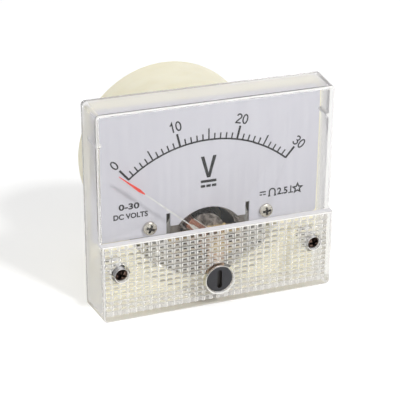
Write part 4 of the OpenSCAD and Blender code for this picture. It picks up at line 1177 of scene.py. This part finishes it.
@dataclass
class DialPrinting:
    """What is printed on the dial: scale, numbers, unit and small signs."""

    arc_z: float = -17.7  # height of the middle of the scale's arc
    arc_r: float = 32.4
    half_sweep: float = 40.5  # angle from the middle of the scale to each end
    divisions: int = 30
    ink: float = 0.03  # thickness of the ink
    sunk: float = 0.01  # how far it reaches into the dial
    arc_w: float = 0.44  # width of the arc's line
    tick_w: float = 0.36
    long_tick_w: float = 0.54  # width of the numbered ticks
    tick_raised: float = 0.004  # how far the ticks' ink lies over the arc's
    tick_lengths: Triple = (1.65, 3.0, 3.6)  # of small, middle and numbered ticks
    digit_h: float = 2.6
    digit_w: float = 0.58  # width of a digit, as a share of its height
    digit_step: float = 0.66  # from one digit to the next, as a share of their height
    digit_stroke: float = 0.36  # width of their lines
    number_places: tuple[tuple[str, float, float, float], ...] = (  # text, x, z and turn
        ("0", -24.7, 11.2, -40), ("10", -8.9, 19.2, -13), ("20", 8.9, 19.1, 13), ("30", 24.7, 10.8, 40),
    )
    sign_stroke: float = 0.36

    def __post_init__(self) -> None:
        """Works out the stations of the ink from the dial."""
        face = float(node_box("dial_plate")[0][1])
        self.y = (face - self.ink, face + self.sunk)

    def scale(self) -> Solid:
        """The arc and its ticks.

        Returns:
            The printed shape.
        """
        ends = (90 + self.half_sweep, 90 - self.half_sweep)
        parts = [stroke(arc(0.0, self.arc_z, self.arc_r, self.arc_r, *ends, 97), self.arc_w, self.y)]
        for i in range(self.divisions + 1):
            kind = 2 if i % 10 == 0 else 1 if i % 5 == 0 else 0
            half = (self.long_tick_w if kind == 2 else self.tick_w) / 2
            along = (self.arc_r - 0.1, self.arc_r + self.tick_lengths[kind])
            tick = block((-half, half), (self.y[0] - self.tick_raised, self.y[1]), along)
            parts.append(tick.turned(self.half_sweep * (2 * i / self.divisions - 1)).moved(0, self.arc_z))
        return joined(parts)

    def digit(self, character: str) -> np.ndarray:
        """The line of a digit of height 1, its lower left corner at the origin.

        Args:
            character: 0, 1, 2 or 3.

        Returns:
            One row of x and z for each point.
        """
        if character == "0":
            return arc(0.29, 0.5, 0.235, 0.45, 0, 336)
        if character == "1":
            return np.array([(0.13, 0.76), (0.26, 0.84), (0.36, 0.98), (0.36, 0.0)])
        if character == "2":
            foot = [(0.11, 0.2), (0.05, 0.055), (0.55, 0.055)]
            return np.vstack([arc(0.29, 0.72, 0.225, 0.23, 172, -30), foot])
        return np.vstack([arc(0.28, 0.735, 0.21, 0.215, 165, -80), arc(0.27, 0.285, 0.245, 0.235, 75, -160)])

    def numbers(self) -> Solid:
        """The four numbers round the scale.

        Returns:
            The printed shape.
        """
        parts = []
        for text, x, z, turn in self.number_places:
            for i, character in enumerate(text):
                shift = self.digit_step * (i - (len(text) - 1) / 2) - self.digit_w / 2
                line = (self.digit(character) + (shift, -0.5)) * self.digit_h
                shape = stroke(line, self.digit_stroke, self.y, closed=character == "0")
                parts.append(shape.turned(turn).moved(x, z))
        return joined(parts)

    def bars(self, limits: Sequence[tuple[Pair, Pair]]) -> list[Solid]:
        """Printed bars from their limits in X and in Z."""
        return [block(x, self.y, z) for x, z in limits]

    def unit(self) -> Solid:
        """A large V above a bar and three dashes, for direct voltage.

        Returns:
            The printed shape.
        """
        letter = [
            (-1.18, 10.3), (0.0, 5.75), (1.18, 10.3), (2.1, 10.3), (0.45, 4.5), (-0.45, 4.5), (-2.1, 10.3),
        ]
        dashes = [((x - 0.6, x + 0.6), (1.86, 2.54)) for x in (-1.5, 0.0, 1.5)]
        return joined([plate(letter, self.y), *self.bars([((-2.1, 2.1), (3.16, 3.88)), *dashes])])

    def legends(self) -> Solid:
        """Plain words at the left: the range and the kind of instrument."""
        return joined([
            lettering("0-30", 1.7, 5.4, self.y).moved(-21.1, -0.35),
            lettering("DC VOLTS", 1.5, 9.0, self.y).moved(-20.7, -2.95),
        ])

    def signs(self) -> Solid:
        """Small signs at the right: direct current, moving coil, class, position, test.

        Returns:
            The printed shape.
        """
        direct_current = self.bars([
            ((14.1, 15.8), (-2.08, -1.74)), ((14.1, 14.8), (-2.84, -2.5)), ((15.1, 15.8), (-2.84, -2.5)),
        ])
        magnet = np.vstack([(16.8, -3.2), arc(17.6, -2.1, 0.8, 0.8, 180, 0, 13), (18.4, -3.2)])
        poles = self.bars([((16.45, 17.1), (-3.45, -3.12)), ((18.1, 18.75), (-3.45, -3.12))])
        upright = self.bars([((22.15, 23.5), (-3.3, -2.97)), ((22.66, 22.99), (-3.1, -1.2))])
        tips, notches = (
            arc(24.7, -2.2, r, r, first, first + 288, 5) for r, first in ((1.3, 90), (0.58, 126))
        )
        star = np.stack([tips, notches], 1).reshape(-1, 2)
        return joined([
            *direct_current, stroke(magnet, self.sign_stroke, self.y), *poles,
            lettering("2.5", 2.0, 2.9, self.y).moved(20.45, -2.3), *upright,
            stroke(star, self.sign_stroke, self.y, closed=True),
        ])

    def build(self, materials: Materials) -> None:
        """Makes the five printed pieces.

        Args:
            materials: The materials by slot.
        """
        place(make_object("scale_print", self.scale()), "case", "ink", materials, ["dial_scale"])
        for name, solid in (
            ("number_print", self.numbers()), ("unit_print", self.unit()),
            ("legend_print", self.legends()), ("sign_print", self.signs()),
        ):
            place(make_object(name, solid), "case", "ink", materials)


# ---- Screws, nuts and studs ----------------------------------------------


def thread(radius: float, pitch: float, depth: float, y: Pair, sides: int = 28) -> Solid:
    """A rod with a helical thread.

    The radius at turn t and station y is that of the crest less the depth
    times |2 f - 1|, where f is the fractional part of y / pitch - t / 2 pi.
    It shrinks to the root over the last half pitch at each end.

    Args:
        radius: Radius over the crests.
        pitch: Distance between crests.
        depth: Depth of the thread.
        y: Stations of its ends.
        sides: Number of flat sides in a turn.

    Returns:
        The rod.
    """
    front, back = y
    steps = max(int(round((back - front) / pitch * 5)), 4)
    station = np.linspace(front, back, steps + 1)[:, None]
    turn = np.linspace(0.0, math.tau, sides, endpoint=False)
    f = (station / pitch - turn / math.tau) % 1.0
    near = np.clip(np.minimum(station - front, back - station) / (0.5 * pitch), 0.0, 1.0)
    return loft(spun(radius - depth + depth * np.minimum(1.0 - np.abs(2 * f - 1), near), station, turn))


def cross_cutter(reach: float, width: float, depth: float, y: float) -> Solid:
    """A tapered cross that cuts a driver recess into a head.

    Args:
        reach: Half the length of its arms at the head's top.
        width: Width of its arms there.
        depth: Depth of the recess.
        y: Station of the head's top.

    Returns:
        The cutter, which stands proud of the head.
    """
    rings = []
    # shares of the reach, the width and the depth, from above the head to the bottom
    for long, wide, deep in ((1.15, 1.1, -0.4), (1.0, 1.0, 0.0), (0.72, 0.85, 1.0)):
        arm, half = reach * long, width / 2 * wide
        quarter = [complex(half, half), complex(half, arm), complex(-half, arm)]
        outline = np.outer(1j ** np.arange(4), quarter).ravel()
        rings.append(grid(outline.real, y + depth * deep, outline.imag))
    return loft(np.stack(rings))


@dataclass(frozen=True)
class PanScrew:
    """A pan-head screw with a cross recess and a thread."""

    head_h: float
    shank_r: float  # radius of the thread
    pitch: float
    proud: float = 0.0  # how much taller the head is than the solid's
    crown: float = 0.45  # height of the domed part, as a share of the head's
    bevel: float = 0.08  # at the back of the head
    recess_reach: float = 0.66  # reach of the recess, as a share of the head's radius
    recess_w: float = 0.36  # width of its arms, as a share of the same
    recess_d: float = 0.85  # depth of the recess, as a share of the head's height
    core: float = 0.9  # radius of the neck behind the head, as a share of the thread's
    # how dark the painted shade in the cross recess is
    painted_shade: float = 0.8
    painted_shade_y: Pair = (0.18, 0.95)  # depths between which the cross recess gets painted shade, as shares of the head's height

    def build(self, node: str, turn: float, materials: Materials) -> None:
        """Makes the screw.

        Args:
            node: The CAD node that it stands for. Its place and sizes come from there.
            turn: Angle of the recess, in degrees.
            materials: The materials by slot.
        """
        low, high = node_box(node)
        r, top = (high[0] - low[0]) / 2, low[1] - self.proud
        back = top + self.head_h + self.proud
        crown, core_r = self.crown * self.head_h, self.core * self.shank_r
        bend = np.linspace(0.0, math.pi / 2, 7)[1:]
        dome = np.stack([r * 0.999 * np.sin(bend), top + crown * (1 - np.cos(bend))], 1)
        profile = [
            (0.02, top), *dome, (r, top + crown + 0.05), (r, back - self.bevel), (r - self.bevel, back),
            (core_r, back), (core_r, back + 0.2),
        ]
        screw = make_object(f"{node}_piece", lathe(profile), HEAD_SMOOTH_UNDER)
        reach = r * self.recess_reach
        cross = cross_cutter(reach, r * self.recess_w, self.head_h * self.recess_d, top).turned(turn)
        combine(screw, cross, Joining.CUT, HEAD_SMOOTH_UNDER)
        shank = thread(self.shank_r, self.pitch, self.pitch * 0.5, (back - 0.05, high[1]), 20)
        merge(screw, shank, THREAD_SMOOTH_UNDER)
        # the cross recess gets painted shade, where shadow falls in it
        low_shade, high_shade = (top + share * self.head_h for share in self.painted_shade_y)
        mark_recess_shade(screw, (low_shade, high_shade), (reach, reach), is_round=True, painted_shade=self.painted_shade)
        seat(screw, node, materials)


def hex_nut(node: str, bore_r: float, materials: Materials) -> None:
    """Makes a hexagon nut with chamfered corners on both faces.

    Args:
        node: The CAD node that it stands for.
        bore_r: Radius of its hole.
        materials: The materials by slot.
    """
    low, high = node_box(node)
    front, back = low[1], high[1]
    flat = (high[2] - low[2]) / 2
    corner = flat / math.cos(math.pi / 6)
    chamfer, lead, over = 0.62 * (corner - flat), 0.25, 0.01
    hexagon = plate(arc(0.0, 0.0, corner, corner, 0, 300, 6), (front, back))
    nut = make_object(f"{node}_piece", hexagon, NUT_SMOOTH_UNDER)
    corners = spool(flat * 0.97, corner + 0.02, chamfer, (front, back), 72)
    combine(nut, corners, Joining.KEEP_INSIDE, NUT_SMOOTH_UNDER)
    bore = spool(bore_r + lead, bore_r, lead + over, (front - over, back + over), 48)
    combine(nut, bore, Joining.CUT, NUT_SMOOTH_UNDER)
    seat(nut, node, materials)


def split_washer(node: str, inner_r: float, materials: Materials) -> None:
    """Makes a spring washer: one turn of a square wire with a step at its split.

    Args:
        node: The CAD node that it stands for.
        inner_r: Radius of its hole.
        materials: The materials by slot.
    """
    low, high = node_box(node)
    outer_r, deep = (high[0] - low[0]) / 2, high[1] - low[1]
    thick, soft = 0.72 * deep, 0.12
    turn = np.radians(np.linspace(6.0, 354.0, 61))[:, None]
    rise = np.linspace(0.0, deep - thick, len(turn))[:, None]
    r = np.array([inner_r, inner_r + soft, outer_r - soft, outer_r])
    y = np.array([soft, 0.0, 0.0, soft])
    rings = spun(np.append(r, r[::-1]), low[1] + rise + np.append(y, thick - y), turn)
    seat(make_object(f"{node}_piece", loft(rings)), node, materials)


def stud(node: str, thread_r: float, pitch: float, body_end: float, materials: Materials) -> None:
    """Makes a threaded stud with a plain round body or head at its front.

    Args:
        node: The CAD node that it stands for.
        thread_r: Radius of the thread.
        pitch: Pitch of the thread.
        body_end: Station where the body ends and the thread shows.
        materials: The materials by slot.
    """
    low, high = node_box(node)
    r, soft = (high[0] - low[0]) / 2, 0.2
    body = make_object(f"{node}_piece", spool(r - soft, r, soft, (low[1], body_end)), HEAD_SMOOTH_UNDER)
    merge(body, thread(thread_r, pitch, 0.55 * pitch, (body_end - 0.4, high[1])), THREAD_SMOOTH_UNDER)
    seat(body, node, materials)


@dataclass
class Fasteners:
    """All the screws, studs and terminal parts."""

    cover_screw: PanScrew = PanScrew(head_h=1.2, shank_r=0.95, pitch=0.5, proud=1.4)
    dial_screw: PanScrew = PanScrew(head_h=1.1, shank_r=0.9, pitch=0.45)
    frame_screw: PanScrew = PanScrew(head_h=1.1, shank_r=0.8, pitch=0.45)
    bridge_screw: PanScrew = PanScrew(head_h=0.8, shank_r=0.6, pitch=0.35)
    bridge_screw_turn: float = 20.0
    terminal_r: float = 2.0  # radius of the terminals' thread
    terminal_pitch: float = 0.7
    terminal_head_end: float = 28.0
    nut_play: float = 0.08  # between the terminals' thread and a nut
    washer_play: float = 0.2
    stud_r: float = 1.5
    stud_pitch: float = 0.5
    stud_body_end: float = 0.0

    def build(self, materials: Materials) -> None:
        """Makes the pieces, left and right.

        Args:
            materials: The materials by slot.
        """
        # the turns are those of the cover, dial and frame screw
        for side, turns in (("left", (33.0, 22.0, 31.0)), ("right", (-15.0, -6.0, -31.0))):
            self.cover_screw.build(f"cover_screw_{side}", turns[0], materials)
            self.dial_screw.build(f"dial_screw_{side}", turns[1], materials)
            self.frame_screw.build(f"frame_screw_{side}", turns[2], materials)
            for kind in ("fixing_nut", "clamp_nut"):
                hex_nut(f"{kind}_{side}", self.terminal_r + self.nut_play, materials)
            split_washer(f"terminal_spring_washer_{side}", self.terminal_r + self.washer_play, materials)
            stud(f"mounting_stud_{side}", self.stud_r, self.stud_pitch, self.stud_body_end, materials)
            bolt = (self.terminal_r, self.terminal_pitch, self.terminal_head_end)
            stud(f"terminal_bolt_{side}", *bolt, materials)
        for node in ("front_bridge_screw", "rear_bridge_screw"):
            self.bridge_screw.build(node, self.bridge_screw_turn, materials)


@dataclass
class ZeroAdjuster:
    """The dark screw-like button under the dial, with a blind slot."""

    slot_l: float = 5.1
    slot_w: float = 1.3
    slot_d: float = 1.05
    edge: float = 0.28  # rounding of the head's edge
    head_h: float = 1.15
    wider: float = 0.1  # how much wider the head's radius is than the solid's
    shaft_r: float = 2.0
    groove_r: float = 1.6
    groove_y: Pair = (-9.62, -9.28)  # stations of the clip's groove
    pin_r: float = 0.5  # radius of the pin that moves the lever
    pin_y: float = -9.1  # station where the pin starts
    pin_bevel: float = 0.1
    unshaded_depth: float = 0.3  # depth of slot above the painted shade

    def build(self, materials: Materials) -> None:
        """Makes the adjuster.

        Args:
            materials: The materials by slot.
        """
        node = "zero_adjuster"
        low, high = node_box(node)
        r, top, end = (high[0] - low[0]) / 2 + self.wider, low[1], high[1]
        back = top + self.head_h
        bend = np.linspace(0.0, math.pi / 2, 5)
        rim = np.stack([r - self.edge * (1 - np.sin(bend)), top + self.edge * (1 - np.cos(bend))], 1)
        front_groove, back_groove = self.groove_y
        button = make_object(f"{node}_piece", lathe([
            *rim, (r, back), (self.shaft_r, back),
            (self.shaft_r, front_groove), (self.groove_r, front_groove),
            (self.groove_r, back_groove), (self.shaft_r, back_groove), (self.shaft_r, self.pin_y),
        ]))
        half_w, half_l = self.slot_w / 2, self.slot_l / 2
        slot = np.vstack([
            arc(0.0, half_l - half_w, half_w, half_w, 0, 180, 9),
            arc(0.0, half_w - half_l, half_w, half_w, 180, 360, 9),
        ])
        combine(button, plate(slot, (top - BEYOND, top + self.slot_d)), Joining.CUT)
        pin = lathe([(self.pin_r, self.pin_y - 0.3), (self.pin_r, end - self.pin_bevel),
                     (self.pin_r - self.pin_bevel, end)], 24)
        merge(button, pin.moved(0.0, self.pin_z(node) - node_middle(node)[2]))
        # the slot's deeper faces get painted shade, where shadow falls in it
        mark_recess_shade(button, (top + self.unshaded_depth, top + self.slot_d + 0.01), (half_w + 0.01, half_l + 0.01))
        seat(button, node, materials)

    def pin_z(self, node: str) -> float:
        """Finds the pin's place on the solid, from the solid's rearmost points.

        Args:
            node: The adjuster's CAD node.

        Returns:
            Height of the pin's middle.
        """
        solid = frame["nodes"][node]
        points = np.array([solid.matrix_world @ vertex.co for vertex in solid.data.vertices])
        rear = points[points[:, 1] > points[:, 1].max() - 1e-5]
        return float((rear[:, 2].min() + rear[:, 2].max()) / 2 / MM)


@dataclass
class RearMarks:
    """The raised plus and minus beside the terminals, and the mould's marks."""

    reach: float = 1.7  # half the length of a sign's bars
    line: float = 0.7  # width of those bars
    raised: float = 0.3  # how far they stand out
    drop: float = 9.0  # how far below its terminal each sign lies
    boss_h: float = 1.5  # how far the terminals' bosses stand out of the housing's back
    sunk: float = 0.2  # how far signs and marks reach into it
    pin_r: float = 1.6  # radius of the round marks that the ejector pins left
    pin_at: float = 19.0  # distance of those marks from the barrel's axis
    ridge_w: float = 0.28  # width of the ridge round each mark
    ridge_h: float = 0.06

    def build(self, materials: Materials) -> None:
        """Makes the signs and the marks.

        Args:
            materials: The materials by slot.
        """
        back = node_box("rear_housing")[1][1] - self.boss_h
        y = (back - self.sunk, back + self.raised)
        long, short = (-self.reach, self.reach), (-self.line / 2, self.line / 2)
        flat, upright = block(long, y, short), block(short, y, long)
        plus, minus = (
            node_middle(f"terminal_bolt_{side}")[[0, 2]] - (0.0, self.drop) for side in ("right", "left")
        )
        signs = joined([flat.moved(*plus), upright.moved(*plus), flat.moved(*minus)])
        place(make_object("terminal_signs", signs), "case", "housing", materials)
        inner, outer = self.pin_r - self.ridge_w / 2, self.pin_r + self.ridge_w / 2
        crest = back + self.ridge_h
        ridge = tube([(inner, y[0]), (inner, crest), (outer, crest), (outer, y[0])])
        pins = spun(self.pin_at, 0.0, np.radians([0.0, 120.0, 240.0]))
        marks = joined([ridge.moved(x, z) for x, _, z in pins])
        place(make_object("ejector_marks", marks), "case", "housing", materials)


# ---- Stage ---------------------------------------------------------------


@dataclass(frozen=True)
class Lamp:
    """A soft square lamp that faces the meter."""

    name: str
    at: Triple  # its place, in metres
    size: float  # width of its face, in metres
    power: float  # in watts

    def add(self) -> None:
        """Adds the lamp to the scene."""
        data = bpy.data.lights.new(self.name, "AREA")
        data.shape = "SQUARE"
        data.size = self.size
        data.energy = self.power
        lamp = linked(self.name, data)
        lamp.location = self.at
        lamp.rotation_euler = (-Vector(self.at)).to_track_quat("-Z", "Y").to_euler()


@dataclass
class Studio:
    """Camera, floor, lights and surroundings."""

    azimuth: float = -21.195  # camera angle round Z, in degrees: 0 looks along +Y
    elevation: float = 24.353  # camera angle above the floor, in degrees
    roll: float = 0.364  # turn of the camera about its own axis, in degrees
    distance: float = 336.17  # from the target to the camera
    target: Triple = (-4.896, -10.3, 1.746)  # the point the camera looks at
    lens: float = 121.3  # focal length, for the sensor below
    sensor: float = 36.0
    sky: float = 0.38  # strength of the white surroundings as they light the meter
    floor_glow: float = 0.32  # what the floor adds for rays that show it, so that it looks white
    floor_half: float = 3000.0  # half the width of the floor
    floor_t: float = 4.0
    floor_gap: float = 0.05  # between the floor and the meter
    lamps: tuple[Lamp, ...] = (
        Lamp("key lamp", (0.35, -0.7, 0.75), 0.16, 6.4),
        Lamp("fill lamp", (-0.7, -0.5, 0.5), 0.6, 1.5),
        Lamp("top lamp", (-0.1, 0.25, 1.1), 0.6, 2.2),
    )

    def add_camera(self) -> None:
        """Adds the scene's camera."""
        a, e, r = (math.radians(v) for v in (self.azimuth, self.elevation, self.roll))
        back = Vector((math.sin(a) * math.cos(e), -math.cos(a) * math.cos(e), math.sin(e)))
        right = Vector((0, 0, 1)).cross(back).normalized()
        up = back.cross(right)
        data = bpy.data.cameras.new("camera")
        data.lens = self.lens
        data.sensor_width = self.sensor
        data.clip_start = 0.01
        camera = linked("camera", data)
        place_at = (Vector(self.target) + back * self.distance) * MM
        rolled = (math.cos(r) * right + math.sin(r) * up, math.cos(r) * up - math.sin(r) * right, back)
        camera.matrix_world = Matrix.Translation(place_at) @ Matrix(rolled).transposed().to_4x4()
        bpy.context.scene.camera = camera

    def add_floor(self) -> None:
        """Adds a plain white floor just under the meter."""
        top = node_box("front_cover")[0][2] - self.floor_gap
        wide = (-self.floor_half, self.floor_half)
        floor = make_object("floor", block(wide, wide, (top - self.floor_t, top)))
        s = ShaderTree(bpy.data.materials.new("white floor"))
        body = s.out("BsdfPrincipled", {
            "Base Color": s.blend(s.noise(40.0), (0.84, 0.84, 0.84), (0.86, 0.86, 0.86)),
            "Roughness": 0.9,
            "Specular IOR Level": 0.1,
        })
        glow = s.out("Emission", {"Color": WHITE, "Strength": s.seen(0.0, self.floor_glow)})
        floor.data.materials.append(s.finish(s.out("AddShader", {0: body, 1: glow})))

    def add_sky(self) -> None:
        """Adds even white surroundings, seen as plain white behind the floor."""
        s = ShaderTree(bpy.data.worlds.new("white surroundings"), "OutputWorld")
        light = s.out("Background", {"Color": WHITE, "Strength": s.seen(self.sky, 1.0)})
        bpy.context.scene.world = s.finish(light)

    def build(self) -> None:
        """Adds all of it."""
        self.add_camera()
        self.add_floor()
        self.add_sky()
        for lamp in self.lamps:
            lamp.add()
        bpy.context.scene.view_settings.view_transform = "Standard"


# ---- The meter -----------------------------------------------------------


DIAL_WIDEN = 1.017
SOFT_EDGES = {  # width of the rounding on each node that gets round edges
    "rear_housing": 0.25, "dial_plate": 0.06, "yoke_ring": 0.15, "movement_frame": 0.12,
    "front_bridge": 0.12, "rear_bridge": 0.12, "core_magnet": 0.15, "coil_former": 0.05,
    "coil_winding": 0.2, "solder_lug_left": 0.08, "solder_lug_right": 0.08,
    "terminal_washer_left": 0.08, "terminal_washer_right": 0.08, "series_resistor": 0.4,
}


def dress_nodes(materials: Materials) -> None:
    """Gives each CAD node the material of its slot in the record.

    Args:
        materials: The materials by slot.
    """
    for name, obj in frame["nodes"].items():
        obj.data.materials.clear()
        obj.data.materials.append(materials[slot_of(name)])


def main() -> None:
    """Builds the whole scene."""
    logging.basicConfig(level=logging.INFO, format="%(name)s: %(message)s")
    Studio().build()
    materials = make_materials()
    dress_nodes(materials)
    for part in (ClearCover(), DialPrinting(), Fasteners(), ZeroAdjuster(), RearMarks()):
        part.build(materials)
    for node, edge in SOFT_EDGES.items():
        soften(node, edge, materials, DIAL_WIDEN if node == "dial_plate" else 1.0)


if __name__ == "__main__":
    main()
